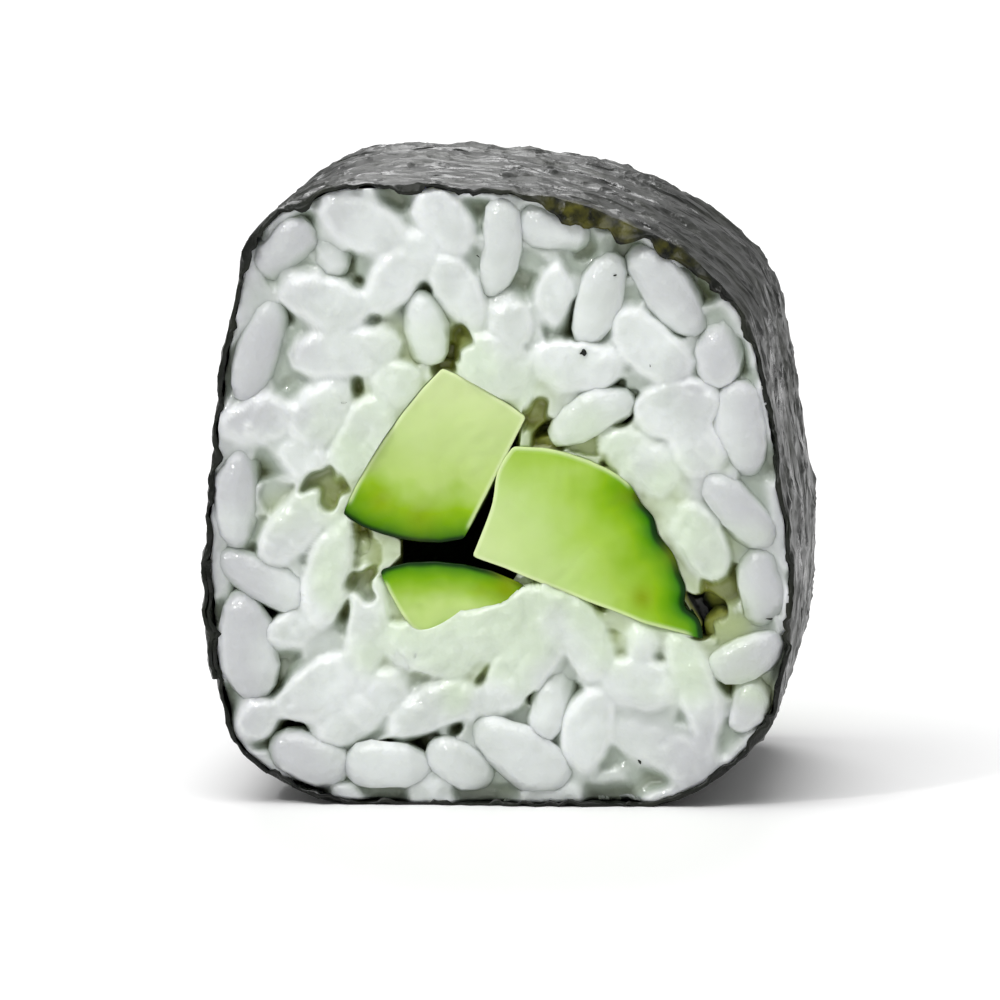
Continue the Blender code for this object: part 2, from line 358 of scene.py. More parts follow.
def seeds(rng):
    """Grains on a brick pattern in layers, shaken off their places: middles, directions, half lengths of
    their lines and radii. Most lie along the cut and a few point out of it."""
    (low_x, low_z), (high_x, high_z) = wall.min(axis=0), wall.max(axis=0)
    across, up = np.arange(low_x, high_x, SEED_STEP[0]), np.arange(low_z, high_z, SEED_STEP[1])
    middles = []
    for layer, depth in enumerate(LAYER_DEPTHS):
        x, z = np.meshgrid(across, up)
        x = x + SEED_STEP[0] / 2 * (np.arange(len(up))[:, None] + layer) % SEED_STEP[0]
        z = z + SEED_STEP[1] / 3 * layer
        middles.append(np.stack([x, np.full_like(x, depth), z], axis=-1).reshape(-1, 3))
    middles = np.vstack(middles)
    middles += rng.uniform(-SHAKE, SHAKE, middles.shape)
    heading = rng.uniform(0.0, 2 * np.pi, len(middles))
    tilt = rng.normal(0.0, 0.5, len(middles))
    level = np.cos(tilt)
    direction = np.stack([np.cos(heading) * level, np.sin(tilt), np.sin(heading) * level], axis=1)
    radius = rng.uniform(*GRAIN_RADIUS, len(middles))
    half = rng.uniform(*GRAIN_LENGTH, len(middles)) / 2 - radius
    return middles, direction, half, radius


def inside_rice(middles, holes):
    """Which places lie in the rice: inside the wall, and in none of the holes."""
    flat = middles[:, [0, 2]]
    keep = beyond(wall, flat)[0] < -SEED_OFF_WALL
    for hole in holes:
        keep &= beyond(hole, flat)[0] > SEED_OFF_STICKS
    return keep


print(len(seeds(np.random.default_rng(0))[0]), "seeds, before those outside the rice are dropped")


# %% Distances between grains
def nearest(start, end):
    """For every pair of lines, how far along each the two come closest, from 0 to 1, and the vector from
    the second to the first there."""
    one, two = (end - start)[:, None], (end - start)[None]
    apart = start[:, None] - start[None]
    a, e, b = (one * one).sum(-1), (two * two).sum(-1), (one * two).sum(-1)
    c, f = (one * apart).sum(-1), (two * apart).sum(-1)
    s = np.clip((b * f - c * e) / np.maximum(a * e - b * b, 1e-6), 0.0, 1.0)
    t = np.clip((b * s + f) / e, 0.0, 1.0)
    s = np.clip((b * t - c) / a, 0.0, 1.0)
    return s, t, apart + one * s[..., None] - two * t[..., None]


level_line, upright_line = ((-1.0, 0.0, 0.0), (1.0, 0.0, 0.0)), ((0.0, 1.0, -1.0), (0.0, 1.0, 1.0))
crossed = nearest(*np.array((level_line, upright_line)).transpose(1, 0, 2))[2][0, 1]
print("two crossed lines, 1 mm apart, come within", np.linalg.norm(crossed), "mm")

# %% [markdown]
# Settling goes round after round, as it does under the hand. In each round every pair that overlaps moves
# apart by half the overlap, and then the walls push back. Small steps let a push travel through the crowd.

# %% Push, then settle
PUSH_MORE = 1.2  # a push goes a little past the touch, so that the crowd settles sooner
PULL = 0.015  # how far each round draws a grain towards the cut
ROUNDS = 260
AGAINST_STICKS = 0.95  # the share of its radius that a grain keeps off the sticks
PAST_CUT = 0.4  # how far a grain may rise past the cut before the knife presses it flat


def push_apart(start, end, radius):
    """One round of pushes between grains. Each overlapping pair moves apart by half the overlap, shared
    between a grain's two ends by how near the touch is to each."""
    s, _, gap = nearest(start, end)
    distance = np.linalg.norm(gap, axis=-1) + 1e-9
    overlap = np.maximum(SQUEEZE * (radius[:, None] + radius[None]) - distance, 0.0)
    np.fill_diagonal(overlap, 0.0)
    push = gap / distance[..., None] * (0.5 * overlap)[..., None]
    touching = np.maximum((overlap > 0).sum(axis=1), 1)[:, None] ** 0.5
    start += (push * (1 - s)[..., None]).sum(axis=1) / touching * PUSH_MORE
    end += (push * s[..., None]).sum(axis=1) / touching * PUSH_MORE


def push_off_walls(ends, radius, holes):
    """Moves grain ends back inside the wall, out of the holes, and between the cut and the deepest layer."""
    flat = ends[:, [0, 2]]
    out, normal = beyond(wall, flat)
    flat -= normal * np.maximum(out + radius - GRAIN_WALL, 0.0)[:, None]
    for hole in holes:
        out, normal = beyond(hole, flat)
        flat += normal * np.maximum(radius * AGAINST_STICKS - out, 0.0)[:, None]
    ends[:, [0, 2]] = flat
    ends[:, 1] = np.clip(ends[:, 1], radius - PAST_CUT, DEEPEST - radius)


def pack(rng, holes):
    """Settled grains: the seeds that lie in the rice, pushed apart and off the walls, round after round,
    while a small pull draws them towards the cut. A line keeps its length through every push."""
    middles, direction, half, radius = seeds(rng)
    keep = inside_rice(middles, holes)
    middles, direction, half, radius = middles[keep], direction[keep], half[keep], radius[keep]
    for _ in range(ROUNDS):
        start, end = middles - direction * half[:, None], middles + direction * half[:, None]
        push_apart(start, end, radius)
        middle = (start + end) / 2
        middle[:, 1] -= PULL
        push_off_walls(start, radius, holes)
        push_off_walls(end, radius, holes)
        push_off_walls(middle, radius * 0.9, holes)
        middles = (start + end + 2 * middle) / 4
        direction = unit(end - start)
    return middles, direction, half, radius


pair = np.array((((0.0, 0.0, 0.0), (0.0, 1.0, 0.0)), ((1.0, 0.0, 0.0), (1.0, 1.0, 0.0))))
push_apart(*pair, np.ones(2))
print("one push moves the starts of two grains from 1 to", np.ptp(pair[0][:, 1]).round(2), "mm apart")

# %% Pack both faces
CHANNEL_CENTRE = np.array((0.40, 13.80))  # between the three sticks
WEDGED = 0.55  # a grain with its middle this share of its radius from the sticks, or closer, is dropped
IN_SHEET = 0.5  # and so is one with its middle this close to the wall


def rays(angles):
    """Unit vectors across the roll, at angles counter-clockwise from straight right."""
    return np.stack([np.cos(angles), np.sin(angles)], axis=1)


def reach(polygon, angles):
    """How far a ray from between the sticks goes at each angle before it last leaves the polygon."""
    start = polygon - CHANNEL_CENTRE
    edge = np.roll(start, -1, axis=0) - start
    ray = rays(angles)
    cross = ray[:, None, 0] * edge[None, :, 1] - ray[:, None, 1] * edge[None, :, 0]
    cross = np.where(np.abs(cross) < 1e-12, 1e-12, cross)
    far = (start[:, 0] * edge[:, 1] - start[:, 1] * edge[:, 0])[None] / cross
    along = (start[None, :, 0] * ray[:, None, 1] - start[None, :, 1] * ray[:, None, 0]) / cross
    hit = (far > 0) & (along > -1e-6) & (along < 1 + 1e-6)
    return np.where(hit, far, 0.0).max(axis=1)


def settled(rng, holes):
    """A packed crowd without the grains that ended up wedged between the sticks, or in the sheet."""
    middles, direction, half, radius = pack(rng, holes)
    flat = middles[:, [0, 2]] - CHANNEL_CENTRE
    angles = np.arctan2(flat[:, 1], flat[:, 0])
    clear = np.max([reach(hole, angles) for hole in holes], axis=0) + WEDGED * radius
    keep = (np.linalg.norm(flat, axis=1) > clear) & (beyond(wall, middles[:, [0, 2]])[0] < -IN_SHEET)
    return middles[keep], direction[keep], half[keep], radius[keep]


packed = {}
for seed, side in enumerate(SIDES):
    holes = [*stick_rims[side].values(), STICK_GAP]
    packed[side] = settled(np.random.default_rng(50 + seed), holes)
    middles, direction, half, radius = packed[side]
    start, end = middles - direction * half[:, None], middles + direction * half[:, None]
    distance = np.linalg.norm(nearest(start, end)[2], axis=-1) + np.eye(len(middles)) * 9
    tight = (distance / (radius[:, None] + radius[None])).min(axis=1)
    print(side, len(middles), "grains; the closest neighbour is at", tight.mean().round(2), "of touching")

# %% [markdown]
# ## Shaping a grain
#
# A grain is an oval carried along a slightly bent line. The oval's radius follows a blunt curve, so the
# ends are round and the middle is almost straight. One grain differs from the next in length, in how
# flat it is, in how it bends and in which end is thicker, so each gets its own numbers, and they are
# kept: the starch between the grains is worked out from the same numbers later.

# %% Each grain's own shape
BLUNTNESS = 2.6
CLEAR_INSIDE, CLEAR_AT_SHEET = 0.22, 0.48  # chance to stand clear, and how much likelier beside the sheet
CLEAR_BELOW = 2.0  # the knife smears no grain that lies deeper than this
PLUMP = 1.06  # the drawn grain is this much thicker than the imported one, so that neighbours merge


def stands_clear(rng, middles):
    """1 for grains that keep their own outline and 0 for those smeared over with starch. Most of those
    near the sheet and all the deep ones stand clear, and few in the middle of the cut do."""
    from_wall = -beyond(wall, middles[:, [0, 2]])[0]
    chance = CLEAR_INSIDE + CLEAR_AT_SHEET * (1 - smooth_step(from_wall, 1.6, 3.4))
    return ((rng.uniform(size=len(middles)) < chance) | (middles[:, 1] > CLEAR_BELOW)).astype(float)


def grown(rng, middles, direction, half, radius):
    """The numbers of every grain: its middle, its three directions, its reach from middle to tip, its
    radius, how flat it is, how far it bows, how much thicker one end is, and if it stands clear."""
    count = len(middles)
    side = unit(np.cross(direction, rng.normal(size=(count, 3))))
    return {
        "middle": middles,
        "along": direction,
        "side": side,
        "other": np.cross(direction, side),
        "reach": half + radius * 1.02,
        "radius": radius * PLUMP,
        "flat": rng.uniform(0.80, 1.0, count),
        "bow": rng.uniform(0.05, 0.35, count),
        "lean": rng.uniform(-0.18, 0.18, count),
        "clear": stands_clear(rng, middles),
    }


crowds = {side: grown(np.random.default_rng(7 + sign), *packed[side]) for side, sign in SIDES.items()}
print("grains reach", *(2 * crowds["front"]["reach"][:3]).round(1), "mm from tip to tip, and so on")

# %% [markdown]
# The two faces were packed alike, but the front one has its own story. Starch covers the lower edge of the
# bottom stick, a few pockets beside the sticks are empty, and here and there the creases are open.

# %% Covered, bare and open places
# Smeared over the lower edge of the bottom stick, at the front: across, depth, up, heading, half length
# of the line and radius.
COVER = np.array((
    (0.9, 0.55, 8.75, 0.30, 1.0, 1.1), (-0.9, 0.60, 7.75, 0.15, 1.1, 1.1), (-3.6, 0.60, 7.55, -0.2, 0.9, 1.0),
    (2.4, 0.55, 9.05, -0.3, 0.7, 1.0),
))


def with_cover(crowd, rng):
    """The crowd with the covering grains added, all smeared."""
    heading = COVER[:, 3]
    direction = np.stack([np.cos(heading), 0 * heading, np.sin(heading)], axis=1)
    more = grown(rng, COVER[:, :3], direction, COVER[:, 4], COVER[:, 5])
    more["clear"][:] = 0.0
    return {key: np.concatenate([crowd[key], more[key]]) for key in crowd}


# Places beside the sticks that no rice has filled, at the front: across, up and radius.
BARE = ((2.0, 17.9, 0.75), (-7.7, 14.7, 0.85), (-1.7, 21.4, 0.7), (-6.1, 10.2, 0.7))
# Places at the front where the creases between the grains are open, with little starch in them.
OPENED = (
    (-6.2, 22.8, 1.1), (3.4, 22.3, 1.2), (5.7, 18.6, 1.0), (-10.8, 9.2, 1.2), (0.8, 5.9, 1.3),
    (4.3, 7.4, 1.0), (-3.4, 3.8, 1.4), (-9.9, 3.3, 1.1), (-5.2, 1.8, 1.1), (7.4, 22.2, 1.1), (9.6, 9.0, 1.0),
)


def in_spots(spots, places, margin):
    """1 inside round spots, each made wider by a margin, with ragged edges, and 0 outside them."""
    spots = np.array(spots)
    off = np.linalg.norm(places[:, None] - spots[None, :, :2], axis=-1) - spots[:, 2] - margin
    return 1 - smooth_step(off.min(axis=1) + 0.20 * ripples(places, 1.3, 88), -0.2, 0.03)


crowds["front"] = with_cover(crowds["front"], np.random.default_rng(5))
crowds["front"]["clear"] *= in_spots(BARE, crowds["front"]["middle"][:, [0, 2]], 0.5) < 0.5
print("standing clear:", {side: int(crowd["clear"].sum()) for side, crowd in crowds.items()})

# %% [markdown]
# All the grains are drawn at once: one array holds grain, row, column and coordinate. A knife doesn't
# leave whole grains standing: it flattens what lies on its plane. Whatever rises past the cut is pressed
# back to a low dome, whose height closes in on one small value.

# %% Points of the grains
GRAIN_ROWS = 7
GRAIN_COLUMNS = 12
LUMPS = 0.08  # unevenness of a grain, as a share of its radius


def grain_points(crowd):
    """Points of every grain, tip to tip. Along a grain x runs as a cosine from -1 to 1; the radius there
    is r (1 - |x|^2.6)^0.5 (1 + lean x), and the line bows by b (1 - x^2)."""
    share = -np.cos(np.linspace(0.0, np.pi, GRAIN_ROWS + 2))[None]
    turn = np.linspace(0.0, 2 * np.pi, GRAIN_COLUMNS, endpoint=False)
    column = {key: values[:, None] for key, values in crowd.items()}
    width = column["radius"] * (1 - np.abs(share) ** BLUNTNESS) ** 0.5 * (1 + column["lean"] * share)
    bow = column["bow"] * (1 - share**2)
    line = column["middle"] + column["along"] * (column["reach"] * share)[..., None]
    line = line + column["side"] * bow[..., None]
    ring = (
        column["side"][:, :, None] * (width[..., None] * np.cos(turn) * column["flat"][..., None])[..., None]
        + column["other"][:, :, None] * (width[..., None] * np.sin(turn))[..., None]
    )
    points = line[:, :, None] + ring
    return points + ring * (LUMPS * ripples(points, 2.0, 3))[..., None]


print("each grain has", GRAIN_ROWS * GRAIN_COLUMNS + 2, "points")

# %% Grains pressed by the knife, the sheet and the sticks
PROUD = 0.27  # no grain stands further than this out of the cut


def press_flat(depth):
    """Depth after the knife: unchanged behind the cut, and in front of it -p (1 - e^(depth / p))."""
    return np.where(depth < 0, -PROUD * (1 - np.exp(np.minimum(depth, 0.0) / PROUD)), depth)


def press_in(points, holes):
    """Grain points pressed back inside the wall and out of the holes, and flat at the knife."""
    flat = points[..., [0, 2]]
    out, normal = beyond(wall, flat)
    squeezed = out - GRAIN_WALL + UNDER_SHEET * smooth_step(points[..., 1], 0.3, 1.6)
    flat = flat - normal * np.maximum(squeezed, 0.0)[..., None]
    for hole in holes:
        out, normal = beyond(hole, flat)
        flat = flat + normal * np.maximum(0.02 - out, 0.0)[..., None]
    return np.stack([flat[..., 0], press_flat(points[..., 1]), flat[..., 1]], axis=-1)


print("a grain 1 mm past the cut is pressed to", -press_flat(np.array(-1.0)).round(2), "mm")


# %% Close a crowd of ovals
def oval_faces(rows, columns, count, mirrored):
    """Quads between an oval's rows, and triangles that close its tips, for every oval. The grid of one
    end of the roll is mirrored, so its faces are listed the other way round."""
    rim = 1 + np.arange(columns)
    after = np.roll(rim, -1)
    far = (rows - 1) * columns
    first = np.stack([np.zeros(columns, int), after, rim], axis=-1)
    last = np.stack([np.full(columns, rows * columns + 1), rim + far, after + far], axis=-1)
    size = rows * columns + 2
    every = []
    for group in (tube_faces(rows, columns, 1), first, last):
        shifted = group[None] + (np.arange(count) * size)[:, None, None]
        every.extend(shifted.reshape(-1, group.shape[1]).tolist())
    return [face[::-1] for face in every] if mirrored else every


def closed_ovals(shape, points, mirrored):
    """Points and faces of ovals that come as rows of points, tip row to tip row: each tip row shrinks to
    one point. points are the lists that the mesh has already, whose count shifts the faces."""
    rows, columns = shape.shape[1] - 2, shape.shape[2]
    tips = shape[:, [0, -1]].mean(axis=2)
    between = shape[:, 1:-1].reshape(len(shape), -1, 3)
    offset = sum(len(p) for p in points)
    faces = oval_faces(rows, columns, len(shape), mirrored)
    ovals = np.concatenate([tips[:, :1], between, tips[:, 1:]], axis=1).reshape(-1, 3)
    return ovals, [[corner + offset for corner in face] for face in faces]


print("an oval has", len(oval_faces(GRAIN_ROWS, GRAIN_COLUMNS, 1, False)), "faces")

# %% [markdown]
# A finish can only vary along the rice if the mesh tells it where it is. So each point carries four
# numbers: its depth behind the cut, how close it is to the cucumber, how close to the sheet, and how
# steeply it faces away. The finish paints shade from the depth and from the closeness to the sheet, and
# a highlight from the steepness.

# %% Numbers for the rice's painted shade, painted highlight and tint
TINT_REACH = 3.6  # how far from the cucumber its juice tints the rice


def greenness(places, side):
    """1 beside the cucumber, whose juice tints the rice, falling to 0 further away."""
    off = np.min([beyond(rim, places)[0] for rim in stick_rims[side].values()], axis=0)
    return 1 - smooth_step(off + 0.6 * ripples(places, 3.0, 77), 0.2, TINT_REACH)


def painted_flank_highlight(crowd, depth):
    """0 where a grain faces the cut, rising to 1 on its flanks: there more light comes through it, which the
    finish paints on as a whiter highlight.
    """
    turn = np.linspace(0.0, 2 * np.pi, GRAIN_COLUMNS, endpoint=False)
    facing_cut = -(
        crowd["side"][:, 1, None] * np.cos(turn) + crowd["other"][:, 1, None] * np.sin(turn)
    )
    rows = np.repeat(facing_cut[:, None], GRAIN_ROWS, axis=1).reshape(len(facing_cut), -1)
    tips = np.zeros((len(facing_cut), 1))
    flank = 1 - smooth_step(np.concatenate([tips, rows, tips], axis=1).ravel(), 0.25, 0.85)
    return flank * (1 - smooth_step(depth, 0.3, 0.9))


def sheet_shade_share(places):
    """0 inside the roll, rising to 1 beside the sheet, where the rice is painted greyer as shade, most of all
    at the sides.
    """
    near = smooth_step(beyond(wall, places)[0] + 0.8 * ripples(places, 4.0, 78), -5.0, -0.4)
    return near * (0.3 + 0.7 * smooth_step(np.abs(places[:, 0]), 5.0, 9.0))


print("beside the sheet the edge share is", sheet_shade_share(wall).mean().round(2), "on the whole")


# %% The grains that stand clear
def make_grains():
    """The grains that stand clear, of both faces, as one piece. Each point carries its depth behind the
    cut, its closeness to the cucumber, its share of painted shade beside the sheet and its share of painted
    highlight on the flanks as attributes."""
    points, faces, depths, greens, edges, rims = [], [], [], [], [], []
    for side, sign in SIDES.items():
        clear = crowds[side]["clear"] > 0
        crowd = {key: values[clear] for key, values in crowds[side].items()}
        shape = press_in(grain_points(crowd), [*stick_rims[side].values()])
        grains, listed = closed_ovals(shape, points, sign < 0)
        faces += listed
        depths.append(grains[:, 1].copy())
        greens.append(greenness(grains[:, [0, 2]], side))
        # the share of painted shade beside the sheet, stored as edge
        edges.append(sheet_shade_share(grains[:, [0, 2]]))
        # the share of painted highlight on the grains' flanks, stored as rim
        rims.append(painted_flank_highlight(crowd, grains[:, 1]))
        grains[:, 1] = sign * (CUT_Y - grains[:, 1])
        points.append(grains)
    marks = {"depth": depths, "green": greens, "edge": edges, "rim": rims}
    marks = {key: np.concatenate(values) for key, values in marks.items()}
    return mesh_piece("rice_grains", np.vstack(points), faces, marks)


rice_grains = make_grains()

# %% [markdown]
# ## How the sheet lies on the grains
#
# Nori goes limp on warm rice and shrinks on to it. It sinks where no grain holds it up, and it is wrinkled
# all over. The relief is worked out before the starch and the sheet, because both need it: the starch
# ends where the sheet begins.

# %% Relief of the sheet
SHEET_THICKNESS = 0.20
SHEET_OUT = 0.50  # from the rice's wall to the outside of one layer
SINK = 0.30  # deepest hollow between grains
WRINKLE = 0.16
LOWEST = 0.40  # no part of the relief goes further in than this


def support(places, side):
    """Space between places on the wall and the nearest grain behind them: the least distance to a
    grain's line, less its radius."""
    middles, direction, half, radius = packed[side]
    centre = middles.copy()
    centre[:, 1] = SIDES[side] * (CUT_Y - centre[:, 1])
    heading = direction * np.array((1.0, -SIDES[side], 1.0))
    away = places[:, None] - centre[None]
    share = np.clip((away * heading).sum(-1), -half, half)
    off = np.linalg.norm(away - share[..., None] * heading, axis=-1)
    return (off - radius).min(axis=1)


def hollow(places):
    """How far the sheet sinks at places on the wall: what the grains leave open, at most the deepest
    hollow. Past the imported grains, where none is worked out, soft random swells take over."""
    open_front, open_back = support(places, "front"), support(places, "back")
    space = np.minimum(open_front, open_back)
    sunk = SINK * (1 - np.exp(-np.maximum(space - 0.15, 0.0) / SINK))
    swells = SINK * smooth_step(ripples(places, 3.6, 21), -0.5, 1.5)
    inner = smooth_step(np.abs(places[:, 1]), CUT_Y - DEEPEST, CUT_Y - DEEPEST + 2.0)
    return sunk * inner + swells * (1 - inner)


def crumple(places):
    """Wrinkles with sharp crests. The zero lines of a random ripple make a net, and the relief falls away
    from them steeply at first. Warping the places first breaks the net's even size."""
    warped = places + np.stack([0.9 * ripples(places, 6.0, 53 + k) for k in range(3)], axis=-1)
    broad = np.abs(ripples(warped, 4.2, 51))
    fine = np.abs(ripples(warped * (1.0, 0.7, 1.0), 1.5, 52))
    return -WRINKLE * (1 - np.exp(-1.5 * broad)) - 0.55 * WRINKLE * (1 - np.exp(-2.0 * fine))


def relief(places):
    """How far the sheet lies further in than its widest, from 0 down, at places on the wall. It is flat
    where the roll rests on the table."""
    free = smooth_step(places[..., 2], 0.7, 3.5)
    return LOWEST * (np.exp((crumple(places) - hollow(places)) / LOWEST) - 1) * free


deepest = -relief(placed(wall, -CUT_Y)).min()
print("along the front edge the sheet lies up to", deepest.round(2), "mm further in")


# %% [markdown]
# ## The starch between the grains
#
# Sushi rice is sticky: starch fills the creases, and where the knife has dragged it, it covers whole
# grains. So a core fills the roll from the sticks out to the sheet, and each of its cut faces is a skin
# drawn over the crowd. To find the skin, the distance to every grain is worked out at a ladder of depths
# behind each place on the cut, and all the distances are melted into one by a soft minimum. The skin lies
# at the first depth where the melted distance falls to a chosen value. A soft minimum is smaller than
# both distances where two grains meet, and that rounds the crease.

# %% The melted distance
MELT = 0.12  # the higher, the rounder the creases
SUNK = 0.30  # under a grain that stands clear, the starch lies at least this far below its surface
SPREAD = 0.06  # over a grain that is smeared, it lies this far above
LADDER = np.arange(-1.1, 2.7, 0.12)  # depths behind the cut
GRAIN_SPAN = 3.7  # no grain is felt further away than this
print("the ladder has", len(LADDER), "rungs, from", LADDER[0], "to", LADDER[-1].round(2), "mm")


def grain_distance(crowd, k, points):
    """About how far points lie outside grain k: ((|x|^2.6 + q^2)^0.5 - 1) times its radius, where x is
    the share of the way to its tip and q the share of the way to its side."""
    away = points - crowd["middle"][k]
    x = away @ crowd["along"][k] / crowd["reach"][k]
    side = away @ crowd["side"][k] - crowd["bow"][k] * (1 - np.minimum(x**2, 1.5))
    other = away @ crowd["other"][k]
    width = crowd["radius"][k] * (1 + crowd["lean"][k] * np.clip(x, -1.2, 1.2))
    q_squared = (side**2 / crowd["flat"][k] ** 2 + other**2) / width**2
    return (np.sqrt(np.abs(x) ** BLUNTNESS + q_squared) - 1) * crowd["radius"][k]


def melted(places, crowd):
    """Soft minimum of the distances to all grains, at each place and each depth of the ladder:
    -m log of the sum of e^(-distance / m). Only places near a grain are worked out for it. The second
    result is the part of that sum which comes from grains that stand clear."""
    total = np.full((len(places), len(LADDER)), 1e-12)
    clear = np.zeros_like(total)
    for k, middle in enumerate(crowd["middle"]):
        near = np.flatnonzero(np.abs(places - middle[[0, 2]]).max(axis=1) < GRAIN_SPAN)
        points = np.empty((len(near), len(LADDER), 3))
        points[..., 0], points[..., 2] = places[near, 0, None], places[near, 1, None]
        points[..., 1] = LADDER
        offset = SUNK if crowd["clear"][k] else -SPREAD
        part = np.exp(-(grain_distance(crowd, k, points) + offset) / MELT)
        total[near] += part
        if crowd["clear"][k]:
            clear[near] += part
    return -MELT * np.log(total), clear / total


def first_depth(distance, clear):
    """The first depth on the ladder where the distance falls to 0, by a straight line between the two
    rungs, or the last depth where it never does, and the share of clear grains there."""
    below = distance <= 0
    rung = np.maximum(below.argmax(axis=1), 1)
    row = np.arange(len(distance))
    before, after = distance[row, rung - 1], distance[row, rung]
    share = np.clip(before / np.maximum(before - after, 1e-6), 0.0, 1.0)
    found = LADDER[rung - 1] + share * (LADDER[rung] - LADDER[rung - 1])
    hit = below.any(axis=1)
    return np.where(hit, found, LADDER[-1]), np.where(hit, clear[row, rung], 0.0)


# %% [markdown]
# The core is a closed grid like a tyre: a front face of rings from the channel that holds the sticks out
# to the wall, the channel itself, the back face, and the outside under the sheet. Deep in the roll the
# channel draws in, so that no daylight shows through the gap between the sticks.

# %% The channel round the sticks
CORE_COLUMNS = 560
CHANNEL_CLEARANCE = 0.03
DRAWN_IN = 0.9  # deep in the roll the channel closes by this share
# Where it comes in over the bottom stick: the angle, how wide a turn, and how far.
COVER_TURN, COVER_SPREAD, COVER_REACH = 4.75, 0.50, 2.2
CHANNEL_STATIONS = (0.0, 0.02, 0.05, 0.10, 0.18, 0.3, 0.5, 0.7, 0.82, 0.90, 0.95, 0.98, 1.0)


def channel(angles, share):
    """The wall round the sticks, at a share of the way from the front to the back: smoothed so that it has
    no jumps, drawn in deep down, and at the very front in over the lower edge of the bottom stick."""
    far = reach(STICK_GAP, angles)
    for name in STICKS:
        section = stick_sections["front"][name] * (1 - share) + stick_sections["back"][name] * share
        far = np.maximum(far, reach(section, angles))
    window = np.ones(7) / 7
    far = np.convolve(np.concatenate([far[-3:], far, far[:3]]), window, "valid") + CHANNEL_CLEARANCE
    over = np.exp(-(((angles - COVER_TURN + np.pi) % (2 * np.pi) - np.pi) / COVER_SPREAD) ** 4)
    far -= COVER_REACH * over * (share < 0.02)
    return far * (1 - DRAWN_IN * smooth_step(min(share, 1 - share), 0.12, 0.3))


core_angles = np.linspace(0.0, 2 * np.pi, CORE_COLUMNS, endpoint=False)
print("the channel reaches", channel(core_angles, 1.0).max().round(1), "mm from its middle")

# %% One cut face of the core
CORE_RINGS = 78
FILLED, SHALLOW, DEEP = 0.30, 0.62, 1.6  # how deep the creases go: filled in, between clear grains, in holes
RIM_FILLED, RIM_OPEN = 0.16, 0.9  # and beside the sheet: in most places, and in a few
OPEN, OPEN_DEEPER = 2.4, 1.6  # and where they are open: at most, and how much steeper they fall
HOLE_DEPTH = 0.9  # of the bare pockets
FLATTENED = 0.30  # the knife flattens smeared grains by this share more
UNEVEN, GRAINY = 0.045, 0.02  # broad and fine lumps of the starch
STARCH_SUNK = 0.08  # beside clear grains the starch lies this much deeper


def blurred(grid, rounds=1):
    """A grid smoothed by mixing each value with its neighbours. It closes on itself along its columns."""
    for _ in range(rounds):
        grid = (np.roll(grid, 1, axis=1) + 2 * grid + np.roll(grid, -1, axis=1)) / 4
        padded = np.concatenate([grid[:1], grid, grid[-1:]])
        grid = (padded[:-2] + 2 * grid + padded[2:]) / 4
    return grid


def core_face(side, angles, outer):
    """Rings of one cut face of the core, from the channel to the sheet, with each point's depth, closeness
    to the cucumber and to the sheet, and its share of painted highlight where it is steep."""
    ray = rays(angles)
    rim = placed(CHANNEL_CENTRE + outer[:, None] * ray, SIDES[side] * CUT_Y)
    outer = outer + SHEET_OUT - SHEET_THICKNESS + relief(rim) - 0.02
    inner = channel(angles, 0.0 if side == "front" else 1.0)
    shares = np.linspace(0.0, 1.0, CORE_RINGS)[:, None] ** 1.2  # closer rings beside the sticks
    distance = inner * (1 - shares) + outer * shares
    places = (CHANNEL_CENTRE + distance[..., None] * ray).reshape(-1, 2)
    seed = 90 + SIDES[side]
    found, clear = first_depth(*melted(places, crowds[side]))
    depth = press_flat(found)
    depth = np.where(depth < 0, depth * (1 - FLATTENED * (1 - clear)), depth) + STARCH_SUNK * clear
    limit = FILLED + (DEEP - FILLED) * smooth_step(ripples(places, 3.4, seed), 0.55, 1.15)
    limit = np.maximum(limit, SHALLOW * clear)
    open_here = in_spots(OPENED, places, 0.0) if side == "front" else np.zeros(len(places))
    limit = np.maximum(limit, OPEN * open_here)
    at_rim = RIM_FILLED + (RIM_OPEN - RIM_FILLED) * smooth_step(ripples(places, 4.0, seed + 7), 0.0, 1.0)
    limit += (at_rim - limit) * smooth_step(beyond(wall, places)[0], -0.8, 0.0)
    depth = np.where(depth > 0, limit * (1 - np.exp(-np.maximum(depth, 0.0) / limit)), depth)
    depth = depth + OPEN_DEEPER * np.clip(depth - 0.12, 0.0, 0.8) * open_here
    if side == "front":
        depth = depth + HOLE_DEPTH * in_spots(BARE, places, 0.0)
    lumps = UNEVEN * ripples(places, 1.4, seed + 3) + GRAINY * ripples(places, 0.7, seed + 4)
    depth = blurred((depth + lumps * (1 - clear)).reshape(distance.shape))
    # shares of the cucumber's tint and of painted shade beside the sheet
    green, edge = greenness(places, side), sheet_shade_share(places)
    points = placed(places, SIDES[side] * (CUT_Y - depth.ravel())).reshape(*depth.shape, 3)
    slope = np.hypot(*np.gradient(depth)) / np.hypot(*np.gradient(distance))
    # painted highlight: steep places near the cut are painted whiter, stored as rim
    painted_highlight_share = smooth_step(slope, 0.15, 0.7) * (1 - smooth_step(depth, 0.3, 0.9))
    return points, depth, green.reshape(depth.shape), edge.reshape(depth.shape), painted_highlight_share


to_wall = reach(wall, core_angles)
core_faces = {side: core_face(side, core_angles, to_wall) for side in SIDES}
print("the front's deepest place is", core_faces["front"][1].max().round(1), "mm behind the cut")

# %% The whole core
UNDER_RIM = 0.9  # under the sheet the core draws in by this much


